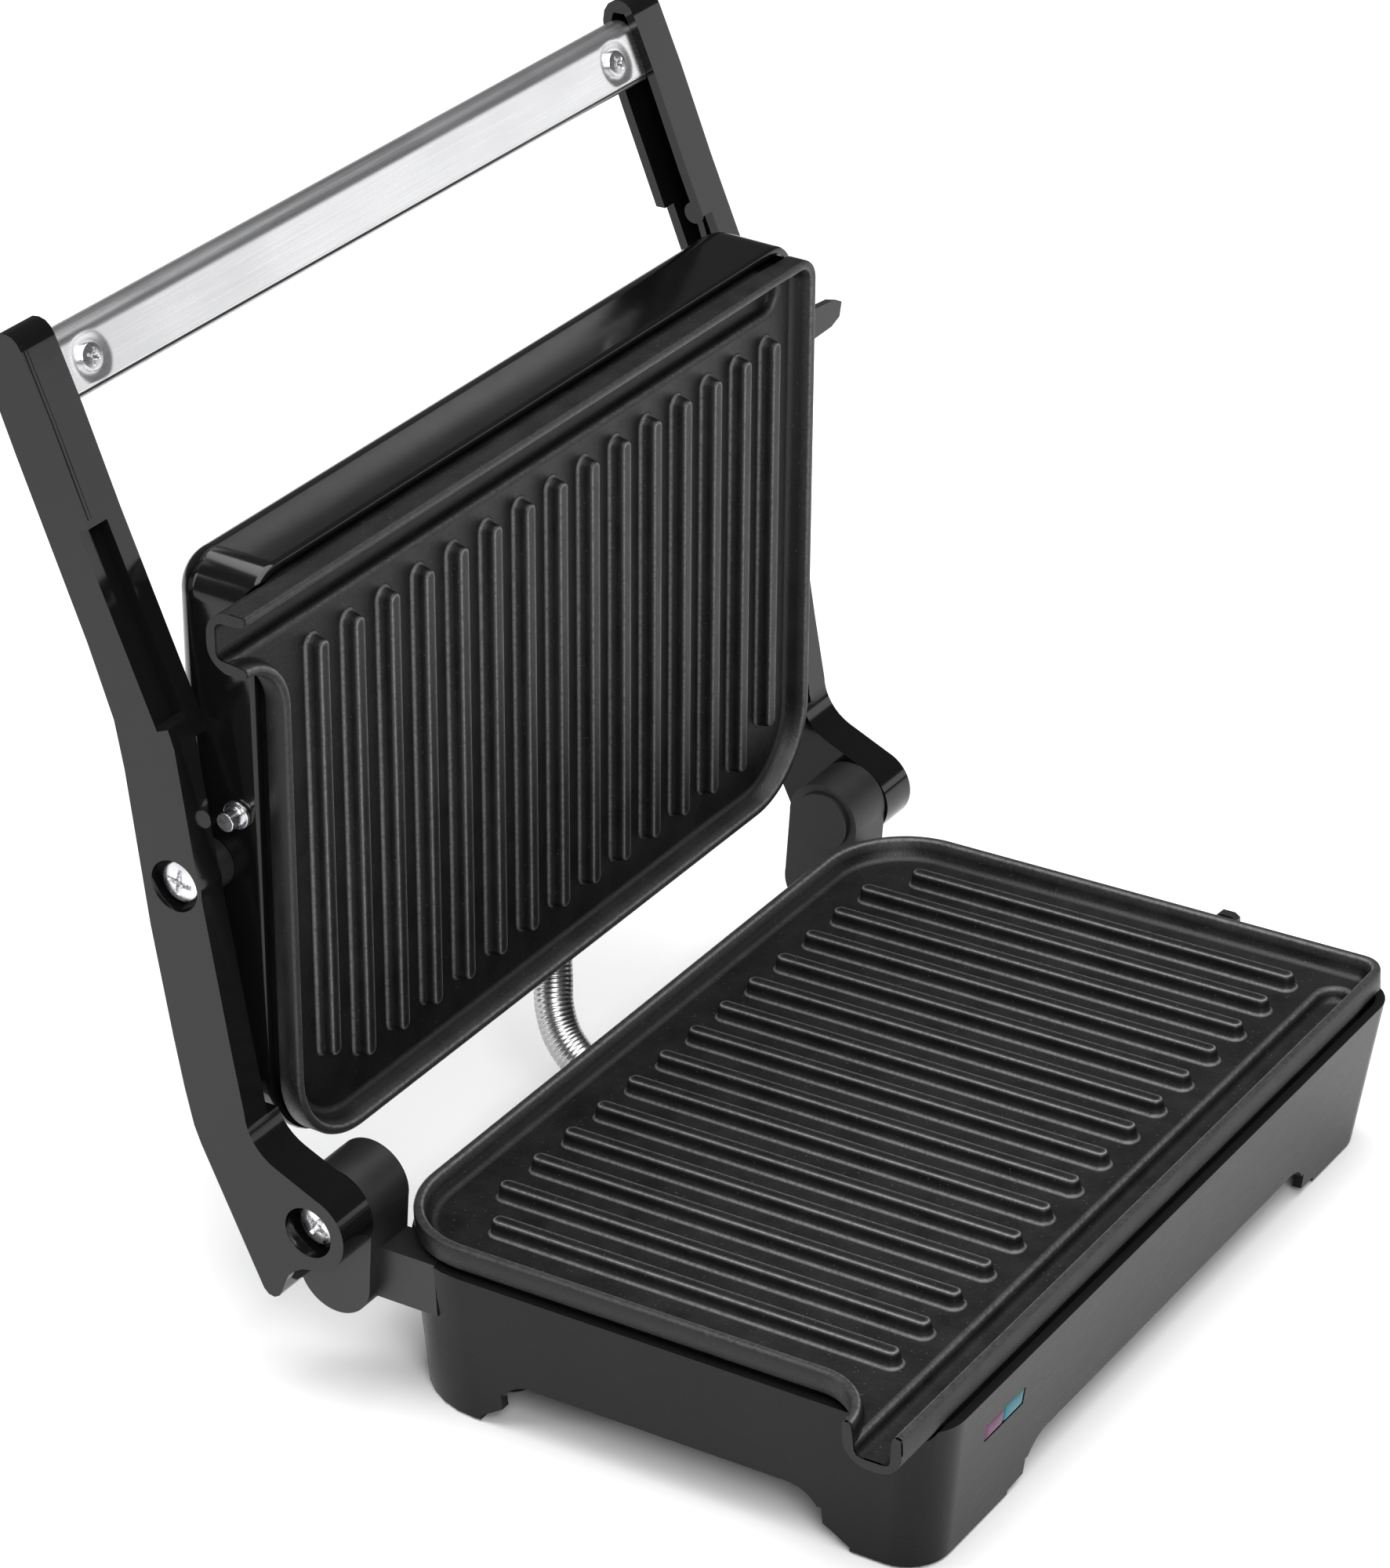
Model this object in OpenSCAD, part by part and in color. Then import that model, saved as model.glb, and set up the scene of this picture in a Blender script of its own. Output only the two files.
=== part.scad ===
// Panini press, lid open on its rear stop: ribbed lower grill in a four-legged base, and a ribbed
// upper grill that floats on two pivots between the arms of a hinged handle frame.
// Origin: on the table, under the centre of the base. +X to the press's right, +Y to the rear, +Z up.
// Each grill plate is drawn in its own frame: x across, y = 0 at the front ends of the ribs and
// growing to the rear, z = 0 at the plane of the rib ends with the cooking side facing +z.

/* [Grill plates] */
// Width across the plate rim
plate_w = 230; // [220:1:236]
// Front edge of the rim, ahead of the ribs
plate_front = -18.5; // [-19:0.5:-17]
// Rear edge of the rim, behind the rib fronts
plate_back = 137; // [132:1:138]
// Number of ribs on a plate
rib_count = 15; // [11:2:15]
// Distance from one rib to the next
rib_pitch = 14; // [12:0.5:14]
// Length of the longer ribs
rib_len = 121.6; // [110:1:122]
// Width of a rib
rib_w = 5; // [3:0.5:7]
// Radius of the rear corners of the rim
rear_r = 25; // [20:1:28]
// Radius of the front corner of the rim
front_r = 7; // [4:1:10]
// How far the grease spout stands out of the left side
spout_out = 14; // [8:1:14]
// Width of the grease spout, outside
spout_w = 15.5; // [13:0.5:17]

/* [Base] */
// Height from the table to the plane of the lower rib ends
rib_z = 47.5; // [45:0.5:52]
// Width of the base at its top edge
base_w = 232; // [232:1:236]
// Height of the base wall's top edge
base_top = 42.5; // [41:0.5:42.5]
// Inward draft of the side walls from top to bottom
side_draft = 3.5; // [1:0.5:5]
// Inward draft of the front wall from top to bottom
front_draft = 7; // [3:0.5:8]
// Wall thickness of the moulded shells
wall = 2.5; // [2:0.1:3]

/* [Hinge and arms] */
// Hinge axis, behind the centre of the base
hinge_y = 86.2; // [85:0.2:88]
// Hinge axis, above the table
hinge_z = 53.1; // [51:0.2:55]
// Outer face of each arm, from the middle
arm_x = 130.5; // [129:0.5:134]
// Thickness of an arm at the handle and at the hinge
arm_t = 12; // [11:0.5:12]
// Upper plate pivot, behind the hinge axis
pivot_dy = 31.6; // [31:0.2:32.2]
// Upper plate pivot, above the hinge axis
pivot_dz = 85.4; // [84:0.2:87]
// Tilt of the open upper plate from closed
open_tilt = 87.3; // [86:0.1:88]

/* [Upper head] */
// Pivot's place along the upper plate, behind the rib fronts
pivot_ly = 57.3; // [56:0.1:58]
// Pivot's depth behind the upper plate's rib ends
pivot_lz = -19.5; // [-20:0.1:-19]
// Depth of the upper housing behind the rib ends
head_depth = 29; // [27:0.5:32]

/* [Handle] */
// Height of the handle's front face
handle_h = 17; // [15:0.5:18]
// Depth of the handle, front to rear
handle_d = 9.5; // [8:0.5:10]
// Distance of the handle screws from the middle
handle_screw_x = 108; // [100:1:110]

/* [Hidden] */
$fn = 64;
facets = 32;              // segments of a circle inside a hull
eps = 0.01;

hw = plate_w / 2;         // half width of the plate rim
plate_y = -58;            // rib fronts of the lower plate, from the centre of the base
rim_top = 3;              // rim edge above the rib ends
rim_low = -3;             // underside of the rim flange
skirt_low = -8;           // lower edge of the plate's skirt
floor_top = -2;           // cooking floor between the ribs
floor_low = -5;           // underside of the floor
rib_top = 2;              // ridge of a rib
rim_t = 2.5;              // thickness of the rim
skirt_in = 3;             // the skirt stands this far inside the rim
skirt_front = 1;          // and this far inside it along the channel
channel_back = plate_front + spout_w - rim_t - 0.4;   // rear edge of the grease channel
channel_low = -5.6;       // bottom of the grease channel
channel_end = 104;        // closed right end of the channel
spout_low = -8;           // bottom of the spout, outside
spout_r = 6.5;            // rounding of the spout's lower corners

base_front = -79;         // front wall at the top edge
base_back = 80;           // rear wall
foot_gap = 0.8;           // moulded legs end this far above the table
arch_side = [-45, 45];    // span of the side arches at their top
arch_side_top = 15.5;     // height of the side arches
arch_front = [-68, 75];   // span of the front arch at its top
arch_front_top = 11.5;    // height of the front arch
arch_flare = 7;           // the arches widen by this towards the table
leg_xy = [[98, -60], [-98, -60], [93, 56], [-93, 56]];   // centres of the four legs
cover_z = 16;             // bottom cover's lower face
cover_t = 2;
lug_xy = [[101, -28], [-101, -28], [101, 44], [-101, 44]];  // plate fixings on the base
lug_z = 28;               // lower face of the plate lugs
lug_t = 3;
screw_hole = 1.8;
screw_core = 1.45;
window_z = [28, 33];      // indicator windows, bottom and top
window_x = [-93, -84, -75];

post_in = 103;            // inner face of a hinge post
post_out = 118.2;         // outer face of a hinge post
post_top = [86.9, 53.7];  // centre of the post's upper round, y and z
post_low = [89.1, 33.3];  // centre of the post's lower round
post_r = 10.5;
neck_y = 62;              // front end of the post's neck, inside the base
neck_z = [28, 42.5];      // neck's bottom and top
neck_clear = 39.2;        // the neck stays below this under the plate's skirt
catch_pin = [-26.5, 36.5];  // pin of the latch catch, y and z
bush_r = 5.5;
pin_r = 3.5;
run = 0.05;               // radial running clearance

arm_in = arm_x - arm_t;       // inner face at the handle
arm_low_in = arm_in + 4;      // inner face beside the upper head
arm_wall = 2.4;
notch_w = 6.5;                // width of the left arm's recess
boss_r = 10.4;
recess_r = 6.7;
recess_deep = 6;
pivot_y = hinge_y + pivot_dy;
pivot_z = hinge_z + pivot_dz;
pivot_pin_r = 3;
collar_gap = 0.3;

head_w = 232;
head_front = -21;
head_back = 139;
head_lip = -5;            // front edge of the upper housing, at the plate
head_r = 28;              // rear corners of the upper housing
head_front_r = 10;
head_bevel = 7;           // rounding of the rear face's edges
head_lugs = [[100, 12], [-100, 12], [100, 100], [-100, 100]];
head_lug_z = -20;
stud_yz = [42, -11];      // stop studs on the head's sides
latch_yz = [23, -12];     // the latch's rivet on the head's right side
latch_fold = 75;          // swing of the latch from folded to hooked
latch_pin_r = 2;

handle_lean = 21;         // lean of the handle face from upright
handle_dy = 58.4;         // lower front edge of the handle, behind the hinge
handle_dz = 197.5;        // and above it
sleeve_t = 1;

conduit_r = 5.2;
base_gland = [4, 80, 20];
head_gland = [16, 139, -14];   // in the upper plate's frame
conduit_route = [
  [16, 116.2, 54.8], [15.9, 116.3, 49.5], [13, 114.2, 43], [9, 111.5, 36.5],
  [6.5, 107.5, 30], [5, 101.5, 25], [4.3, 95, 21.2], [4, 89, 20.1], [4, 84.4, 20]
];

// Arm outline behind and above the hinge axis, from the boss up the rear edge and down the front
arm_rear = [
  [-1, -10.3], [2.5, -11], [4.9, -12.3], [6.9, -14.2], [8.1, -16.6], [9.4, -19.8],
  [10.3, -21.2], [11.8, -22], [13.5, -21.7], [14.8, -20.4], [26.2, 5.6], [30.5, 15.6],
  [32.1, 20.2], [34, 30], [36.1, 44], [39.9, 73], [43.4, 113], [45.2, 125.5], [51, 144],
  [67, 188], [70.8, 199], [71.8, 208], [72, 211.5], [71.5, 214.2], [70.2, 216.2],
  [68.4, 217.3], [66.5, 217.5]
];
arm_front = [
  [64.7, 217], [63.3, 215.8], [62.2, 213.8], [60.5, 209.5], [56, 198], [47.6, 174.5],
  [29.2, 126.5], [27.9, 122], [25.1, 95], [21.3, 65], [18.8, 45]
];
// gusset that leads the front edge round into the hinge boss
arm_gusset = [for (a = [0:-8:-64]) [2.4 + 14 * cos(a), 28 + 14 * sin(a)]];
arm_outline = concat(arm_rear, arm_front, arm_gusset, [[-3.9, 9.6]]);

// ---------- shared shapes ----------

// Inside corner that rounds a square plan
module corner(r) {
  difference() {
    translate([-1, -1]) square(r + 1);
    translate([r, r]) circle(r = r);
  }
}

// Rectangle from lo to hi with its own radius at each corner: front-left, front-right, rear pair
module plan(lo, hi, r_fl, r_fr, r_rear) {
  difference() {
    translate(lo) square(hi - lo);
    if (r_fl > 0) translate(lo) corner(r_fl);
    if (r_fr > 0) translate([hi.x, lo.y]) mirror([1, 0]) corner(r_fr);
    if (r_rear > 0) {
      translate([lo.x, hi.y]) mirror([0, 1]) corner(r_rear);
      translate(hi) rotate(180) corner(r_rear);
    }
  }
}

// Extrusion between two heights
module slab(z0, z1) translate([0, 0, z0]) linear_extrude(z1 - z0) children();

// Extrusion of a y-z outline between two x positions
module across(x0, x1) {
  translate([x0, 0, 0]) rotate([90, 0, 90]) linear_extrude(x1 - x0) children();
}

// Cylinder along x between two x positions
module rod(x0, x1, r) translate([x0, 0, 0]) rotate([0, 90, 0]) cylinder(r = r, h = x1 - x0);

module at_base() translate([0, plate_y, rib_z]) children();

module at_head() {
  translate([0, pivot_y, pivot_z]) rotate([-open_tilt, 0, 0]) mirror([0, 0, 1])
    translate([0, -pivot_ly, -pivot_lz]) children();
}

module at_hinge() translate([0, hinge_y, hinge_z]) children();

module at_pivot() translate([0, pivot_y, pivot_z]) children();

module at_handle() {
  at_hinge() translate([0, handle_dy, handle_dz]) rotate([-handle_lean, 0, 0]) children();
}

// The left one is drawn as the mirror image of the right one
module both() {
  children();
  mirror([1, 0, 0]) children();
}

// Left normal of the line from a to b
function normal_of(a, b) = let (v = b - a) [-v.y, v.x] / norm(v);

// Counter-clockwise outline moved inwards by d
function inset(p, d) = let (n = len(p)) [
  for (i = [0:n - 1])
    let (
      n1 = normal_of(p[(i + n - 1) % n], p[i]),
      n2 = normal_of(p[i], p[(i + 1) % n])
    )
    p[i] + d * (n1 + n2) / (1 + n1 * n2)
];

// Cross-head screw: head at the origin, facing +z, shank going down
module screw(head_r, head_h, shank_r, shank_l) {
  difference() {
    union() {
      cylinder(r = head_r, h = head_h);
      translate([0, 0, -shank_l]) cylinder(r = shank_r, h = shank_l + eps);
    }
    for (a = [0, 90])
      rotate(a) translate([-head_r * 0.55, -head_r * 0.1, head_h * 0.45])
        cube([head_r * 1.1, head_r * 0.2, head_h]);
  }
}

// ---------- grill plate, shared by both plates ----------

// Plate outline moved inwards by t, with the flare that leads the left rim into the spout
module plate_outline(t) {
  flare_y = plate_front + spout_w + spout_out;
  plan([-hw + t, plate_front + t], [hw - t, plate_back - t], 0, front_r - t, rear_r - t);
  difference() {
    translate([-hw - spout_out + 1, plate_front + t])
      square([spout_out + t, spout_w + spout_out - t]);
    translate([-hw - spout_out, flare_y]) circle(r = spout_out + t);
    translate([-hw - 30, plate_front - 5]) square([30 + t, spout_w + 5 - t]);
  }
}

// U-shaped y-z outline of the spout and channel, moved inwards by t
module trough(t, low) {
  translate([0, rim_top + t]) mirror([0, 1]) difference() {
    translate([plate_front + t, 0]) square([spout_w - 2 * t, rim_top - low + t]);
    translate([plate_front + t, rim_top - low + t]) mirror([0, 1]) corner(spout_r - t);
    translate([plate_front + spout_w - t, rim_top - low + t]) rotate(180) corner(spout_r - t);
  }
}

module rib(length) {
  slab(floor_top - 0.5, rib_top) {
    translate([-rib_w / 2, rib_w / 2]) square([rib_w, length - rib_w]);
    for (y = [rib_w / 2, length - rib_w / 2]) translate([0, y]) circle(d = rib_w);
  }
}

module grill_plate(lugs, lug_low) {
  last = (rib_count - 1) / 2;
  difference() {
    union() {
      slab(rim_low, rim_top) plate_outline(0);
      slab(skirt_low, rim_low + eps)
        plan([-hw + skirt_in, plate_front + skirt_front], [hw - skirt_in, plate_back - skirt_in],
             10, front_r - skirt_front, rear_r - skirt_in);
      across(-hw - spout_out, -hw + 10) trough(0, spout_low);
      for (p = lugs) translate([p.x, p.y, lug_low]) cylinder(r = 4.5, h = floor_low - lug_low);
    }
    slab(floor_top, rim_top + 1) plate_outline(rim_t);
    across(-hw - spout_out - 1, channel_end - spout_r) trough(rim_t, channel_low);
    slab(channel_low, rim_top + 1)
      plan([channel_end - 20, plate_front + rim_t], [channel_end, channel_back],
           0, 5, 5);
    difference() {
      slab(skirt_low - 1, floor_low)
        plan([-hw + 6, channel_back + 3], [hw - 6, plate_back - 6], 2, 2, rear_r - 6);
      for (p = lugs) translate([p.x, p.y, lug_low]) cylinder(r = 4.5, h = 20);
    }
    for (p = lugs) translate([p.x, p.y, lug_low - 1]) cylinder(r = screw_core, h = 8);
  }
  for (i = [-last:last])
    translate([i * rib_pitch, 0, 0]) rib(abs(i) == last ? rib_len - 7.5 : rib_len);
}

// Tubular heating element clamped under a plate, a U with two terminal pins
module element() {
  run_y = [30, 92];
  bend = (run_y[1] - run_y[0]) / 2;
  tube_r = 3.2;
  z = floor_low - tube_r - 0.1;
  translate([-50, run_y[0] + bend, z]) rotate([0, 0, 90])
    rotate_extrude(angle = 180) translate([bend, 0]) circle(r = tube_r);
  for (y = run_y) translate([0, y, z]) {
    rod(-50, 84, tube_r);
    rod(84, 93, 1.5);
  }
}

// Thin pan that throws the element's heat back at the plate
module reflector() {
  low = [-94, 8];
  high = [94, 112];
  difference() {
    slab(-15.4, -12) plan(low, high, 6, 6, 6);
    slab(-14.8, -11) plan(low + [0.6, 0.6], high - [0.6, 0.6], 5.4, 5.4, 5.4);
  }
}

// ---------- base ----------

// Drafted body of the base, moved inwards by t, between two heights
module base_body(t, z0, z1) {
  function draft(z, d) = d * (base_top - z) / base_top;
  hull()
    for (z = [z0, z1]) translate([0, 0, z]) linear_extrude(eps)
      plan([-base_w / 2 + draft(z, side_draft) + t, base_front + draft(z, front_draft) + t],
           [base_w / 2 - draft(z, side_draft) - t, base_back - t],
           11 - t, 11 - t, 26 - t, $fn = facets);
}

// Arch outline: round-shouldered opening over a span, widening towards the table
module arch(span, top) {
  r = 9;
  polygon([[span[0] - arch_flare, -1], [span[1] + arch_flare, -1],
           [span[1] + arch_flare, 2], [span[1], top - r], [span[0], top - r],
           [span[0] - arch_flare, 2]]);
  translate([span[0], top - r]) square([span[1] - span[0], r / 2]);
  translate([span[0] + r, 0]) square([span[1] - span[0] - 2 * r, top]);
  for (x = [span[0] + r, span[1] - r]) translate([x, top - r]) circle(r = r);
}

module base_housing() color([0.16, 0.16, 0.17]) {
  difference() {
    base_body(0, foot_gap, base_top);
    base_body(wall, foot_gap - 2, base_top + 1);
    across(-140, 140) arch(arch_side, arch_side_top);
    translate([0, 100, 0]) rotate([90, 0, 0]) linear_extrude(200)
      arch(arch_front, arch_front_top);
    translate([0, 0, rib_z]) across(-hw - 20, -hw + 12)
      translate([plate_y, 0]) offset(delta = 0.6) trough(0, spout_low);
    both() translate([post_in - 0.2, neck_y - 0.2, neck_z[0] - 0.3]) cube([30, 40, 30]);
    translate([window_x[0], base_front - 5, window_z[0]])
      cube([window_x[2] - window_x[0], 20, window_z[1] - window_z[0]]);
    translate([base_gland.x, 90, base_gland.z]) rotate([90, 0, 0]) cylinder(r = 5.9, h = 20);
    translate([-50, 90, 27]) rotate([90, 0, 0]) cylinder(r = 5.5, h = 20);
    translate([0, catch_pin.x, catch_pin.y]) rod(105, 125, 1.6);
  }
  for (p = leg_xy) difference() {
    union() {
      translate([p.x, p.y, 3]) cylinder(r = 7.5, h = cover_z - 3);
      web = base_w / 2 - side_draft - 1 - abs(p.x);
      translate([p.x > 0 ? p.x : p.x - web, p.y - 1.5, 4]) cube([web, 3, cover_z - 5]);
    }
    translate([p.x, p.y, 0]) cylinder(r = 2, h = 7);
    translate([p.x, p.y, 8.5]) cylinder(r = screw_core, h = 20);
  }
  for (p = lug_xy) difference() {
    translate([p.x > 0 ? p.x - 5 : p.x - 12, p.y - 6, lug_z]) cube([17, 12, lug_t]);
    translate([p.x, p.y, lug_z - 1]) cylinder(r = screw_hole, h = 10);
  }
  // rounded lip at the right front corner
  translate([hw + 1.5, base_front + 9, base_top - 5]) cylinder(r = 3, h = 4.6);
}

module bottom_cover() color([0.12, 0.12, 0.12]) difference() {
  slab(cover_z, cover_z + cover_t) plan([-110.5, -71], [110.5, 76.5], 7, 7, 23);
  for (p = leg_xy) translate([p.x, p.y, 0]) cylinder(r = screw_hole, h = 30);
  translate([base_gland.x - 7, 72, 0]) cube([14, 10, 30]);
  for (x = [-60:12:60]) slab(cover_z - 1, cover_z + 5) {
    translate([x - 2, -20]) square([4, 40]);
  }
}

module cover_screws() color([0.7, 0.7, 0.72])
  for (p = leg_xy) translate([p.x, p.y, cover_z + cover_t]) screw(3.2, 1.6, screw_core - 0.05, 8);

module rubber_feet() color([0.08, 0.08, 0.08])
  for (p = leg_xy) translate([p.x, p.y, 0]) {
    cylinder(r = 6.5, h = 2.9);
    cylinder(r = 1.95, h = 6.5);
  }

module lower_plate() color([0.13, 0.13, 0.13])
  at_base() grill_plate([for (p = lug_xy) [p.x, p.y - plate_y]], lug_z + lug_t + 0.05 - rib_z);

module lower_plate_screws() color([0.7, 0.7, 0.72])
  for (p = lug_xy) translate([p.x, p.y, lug_z]) mirror([0, 0, 1])
    screw(3.2, 1.6, screw_core - 0.05, lug_t + 5.5);

module lower_element() color([0.45, 0.45, 0.45]) at_base() element();

module lower_reflector() color([0.75, 0.75, 0.76]) at_base() reflector();

module thermostat() color([0.9, 0.9, 0.86]) at_base() {
  translate([10, 61, floor_low - 5.1]) cylinder(r = 8, h = 5);
  for (s = [-1, 1]) translate([10 + s * 4 - 1, 60, floor_low - 7]) cube([2, 6, 2]);
}

module terminal_block() color([0.85, 0.84, 0.78]) {
  z = cover_z + cover_t;
  difference() {
    translate([-70, 50, z]) cube([34, 14, 9]);
    for (x = [-65, -57, -49, -41]) translate([x, 57, z + 3]) cylinder(r = 2, h = 20);
  }
}

module window_lens(i) {
  gap = 0.2;
  translate([window_x[i] + gap, base_front + 2.2, window_z[0] + gap])
    cube([window_x[i + 1] - window_x[i] - 2 * gap, 5.8, window_z[1] - window_z[0] - 2 * gap]);
}

module power_lens() color([0.45, 0.2, 0.42]) window_lens(0);

module ready_lens() color([0.1, 0.42, 0.48]) window_lens(1);

module lamp_board() color([0.2, 0.4, 0.2]) {
  translate([window_x[0] - 3, base_front + 15, window_z[0] - 4]) cube([24, 1.6, 13]);
  for (i = [0, 1])
    translate([(window_x[i] + window_x[i + 1]) / 2, base_front + 15, 30.5])
      rotate([90, 0, 0]) cylinder(r = 2, h = 6);
}

// Side view of a hinge post: upright round-ended bar and the neck that runs into the base
module post_outline() {
  for (c = [post_top, post_low]) translate(c) circle(r = post_r);
  polygon([post_top - [post_r, 0], post_low - [post_r, 0],
           post_low + [post_r, 0], post_top + [post_r, 0]]);
}

module neck_outline() {
  translate([neck_y, neck_z[0]]) square([post_low.x - neck_y, neck_z[1] - neck_z[0]]);
}

module hinge_post() {
  difference() {
    union() {
      across(post_in, post_out) post_outline();
      translate([0, post_top.x, post_top.y]) rod(post_in - 1.2, post_in + 1, 8.2);
      across(post_in, base_w / 2 - 2) neck_outline();
    }
    at_hinge() rod(post_in + 1.5, post_out + 1, bush_r + 0.02);
    at_post_screw() rotate([180, 0, 0]) translate([0, 0, -1]) cylinder(r = screw_core, h = 20);
    translate([hw - rear_r, plate_y + plate_back - rear_r, neck_clear])
      cylinder(r = rear_r - skirt_in + 0.5, h = 10);
  }
  translate([post_in - 6, neck_y, neck_z[0]]) difference() {
    cube([6.5, 5, neck_clear - neck_z[0]]);
    translate([3, -1, 7]) rotate([-90, 0, 0]) cylinder(r = screw_core, h = 10);
  }
}

// Front end of a post's neck, where its screw is driven from inside the base
module at_post_screw() translate([107.5, neck_y, 34]) rotate([90, 0, 0]) children();

module hinge_post_left() color([0.1, 0.1, 0.1]) mirror([1, 0, 0]) hinge_post();

module hinge_post_right() color([0.1, 0.1, 0.1]) hinge_post();

module post_screws() color([0.7, 0.7, 0.72]) both()
  at_post_screw() translate([0, 0, 0.02]) screw(3, 1.6, screw_core - 0.05, 12);

module hinge_bushes() color([0.75, 0.6, 0.3]) both() at_hinge() difference() {
  rod(post_in + 1.6, post_out, bush_r);
  rod(post_in, post_out + 1, pin_r + run);
}

// Flanged strain-relief bush along -z, with its flange's face at the origin
module gland(bore_r, body_r, flange_r, flange_t, length) {
  difference() {
    union() {
      cylinder(r = flange_r, h = flange_t);
      translate([0, 0, -length]) cylinder(r = body_r, h = length + eps);
    }
    translate([0, 0, -length - 1]) cylinder(r = bore_r, h = length + flange_t + 2);
  }
}

module base_conduit_gland() color([0.3, 0.3, 0.3])
  translate(base_gland + [0, 0.1, 0]) rotate([-90, 0, 0]) gland(4, 5.8, 9, 3.85, 6);

module mains_inlet() color([0.08, 0.08, 0.08])
  translate([-50, base_back + 0.1, 27]) rotate([-90, 0, 0]) gland(3.4, 5.4, 7.5, 4, 7);

module latch_catch() color([0.1, 0.1, 0.1]) {
  across(base_w / 2 + 0.2, base_w / 2 + 2.8)
    polygon([[-28, 33], [-25, 33], [-25, 48.5], [-26.5, 50], [-30, 50], [-31.4, 49],
             [-31.4, 47.5], [-28, 47.5]]);
  translate([0, catch_pin.x, catch_pin.y]) rod(111.5, base_w / 2 + 1, 1.5);
}

// ---------- conduit ----------

function unit(v) = v / norm(v);
function tangent(p, i) =
  unit(p[min(i + 1, len(p) - 1)] - p[max(i - 1, 0)]);

// Point on the smooth curve through the route, s counted in route points
function curve_at(p, s) = let (
    i = min(floor(s), len(p) - 2), t = s - i,
    a = p[max(i - 1, 0)], b = p[i], c = p[i + 1], d = p[min(i + 2, len(p) - 1)]
  ) 0.5 * (2 * b + (c - a) * t + (2 * a - 5 * b + 4 * c - d) * t * t
           + (3 * b - a - 3 * c + d) * t * t * t);

// Tube swept along a route that stays near one upright plane
module tube_along(route, r, sides, rings) {
  path = [for (k = [0:rings]) curve_at(route, k * (len(route) - 1) / rings)];
  points = [
    for (k = [0:rings])
      let (t = tangent(path, k), u = unit(cross([1, 0, 0], t)), w = cross(t, u))
      for (j = [0:sides - 1])
        path[k] + r * (cos(j * 360 / sides) * u + sin(j * 360 / sides) * w)
  ];
  faces = concat(
    [[for (j = [0:sides - 1]) j]],
    [[for (j = [sides - 1:-1:0]) rings * sides + j]],
    [for (k = [0:rings - 1], j = [0:sides - 1])
      [k * sides + j, (k + 1) * sides + j, (k + 1) * sides + (j + 1) % sides,
       k * sides + (j + 1) % sides]]
  );
  polyhedron(points, faces, convexity = 6);
}

module wire_conduit() color([0.7, 0.7, 0.7]) tube_along(conduit_route, conduit_r, 12, 16);

// ---------- arms and handle ----------

// Recess cut into the left arm's front edge, where the upper plate's spout passes, and the thicker
// wall behind it
module along_notch() translate([0, 47.6, 174.5]) rotate([-21, 0, 0]) children();

module spout_notch() along_notch() translate([arm_x - notch_w, -10, -51]) cube([10, 13.5, 50]);

module notch_wall()
  along_notch() translate([arm_x - notch_w - 1.6, 1, -53]) cube([notch_w + 0.6, 5, 54]);

module arm(notched) {
  at_hinge() difference() {
    union() {
      difference() {
        across(arm_in, arm_x) polygon(arm_outline);
        across(arm_in - 1, arm_x - arm_wall) intersection() {
          polygon(inset(arm_outline, 2.6));
          translate([0, 24]) square([80, 190]);
        }
        // set back beside the upper head
        translate([arm_in - 1, 0, 24])
          cube([arm_low_in - arm_in + 1, 80, notched ? 98 : 138]);
      }
      rod(arm_in, arm_x, boss_r);
      translate([0, pivot_dy, pivot_dz]) rod(arm_low_in, arm_x, 8);
      // stiffening rib along the channel
      across(arm_x - 6, arm_x - 1)
        polygon([[30, 100], [32, 100], [60, 195], [58, 195]]);
      translate([0, 35, 118]) rod(arm_x - 7, arm_x - 1, 4);
      translate([0, 49, 160]) rod(arm_x - 7, arm_x - 1, 3);
      if (notched) notch_wall();
    }
    rod(arm_x - recess_deep, arm_x + 1, recess_r);
    rod(arm_in - 1, arm_x, pin_r + 0.02);
    translate([0, pivot_dy, pivot_dz]) {
      rod(arm_x - 4, arm_x + 1, recess_r);
      rod(arm_in - 1, arm_x, pivot_pin_r + 0.02);
    }
    if (notched) spout_notch();
  }
  // lug that carries the end of the handle
  at_handle() difference() {
    translate([handle_screw_x - 9, 1.3, 1.3]) cube([arm_in - handle_screw_x + 11, 6, 12]);
    translate([handle_screw_x, 0, handle_h * 0.45]) rotate([-90, 0, 0])
      cylinder(r = screw_core, h = 20);
  }
}

module left_arm() color([0.06, 0.06, 0.06]) mirror([1, 0, 0]) arm(true);

module right_arm() color([0.06, 0.06, 0.06]) arm(false);

module hinge_pins() color([0.75, 0.75, 0.77]) both() at_hinge()
  translate([arm_x - recess_deep, 0, 0]) rotate([0, 90, 0])
    screw(5.6, 2.6, pin_r, arm_x - recess_deep - post_in - 3);

module pivot_pins() color([0.75, 0.75, 0.77]) both() at_pivot()
  translate([arm_x - 4, 0, 0]) rotate([0, 90, 0])
    screw(5.4, 2.4, pivot_pin_r, arm_x - 4 - 108);

// Handle section in its own frame: y to the rear, z up the face
module handle_section(t) {
  plan([t, t], [handle_d - t, handle_h - t], 1.8 - t, 1.8 - t, 4 - t);
}

module handle_sleeve() color([0.82, 0.82, 0.83]) at_handle() difference() {
  across(-arm_in + 0.1, arm_in - 0.1) handle_section(0);
  across(-arm_in, arm_in) handle_section(sleeve_t);
  both() translate([handle_screw_x, -1, handle_h * 0.45]) rotate([-90, 0, 0])
    cylinder(r = screw_hole, h = 5);
}

module handle_core() color([0.1, 0.1, 0.1]) at_handle()
  across(-handle_screw_x + 10, handle_screw_x - 10) handle_section(sleeve_t + 0.1);

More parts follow.
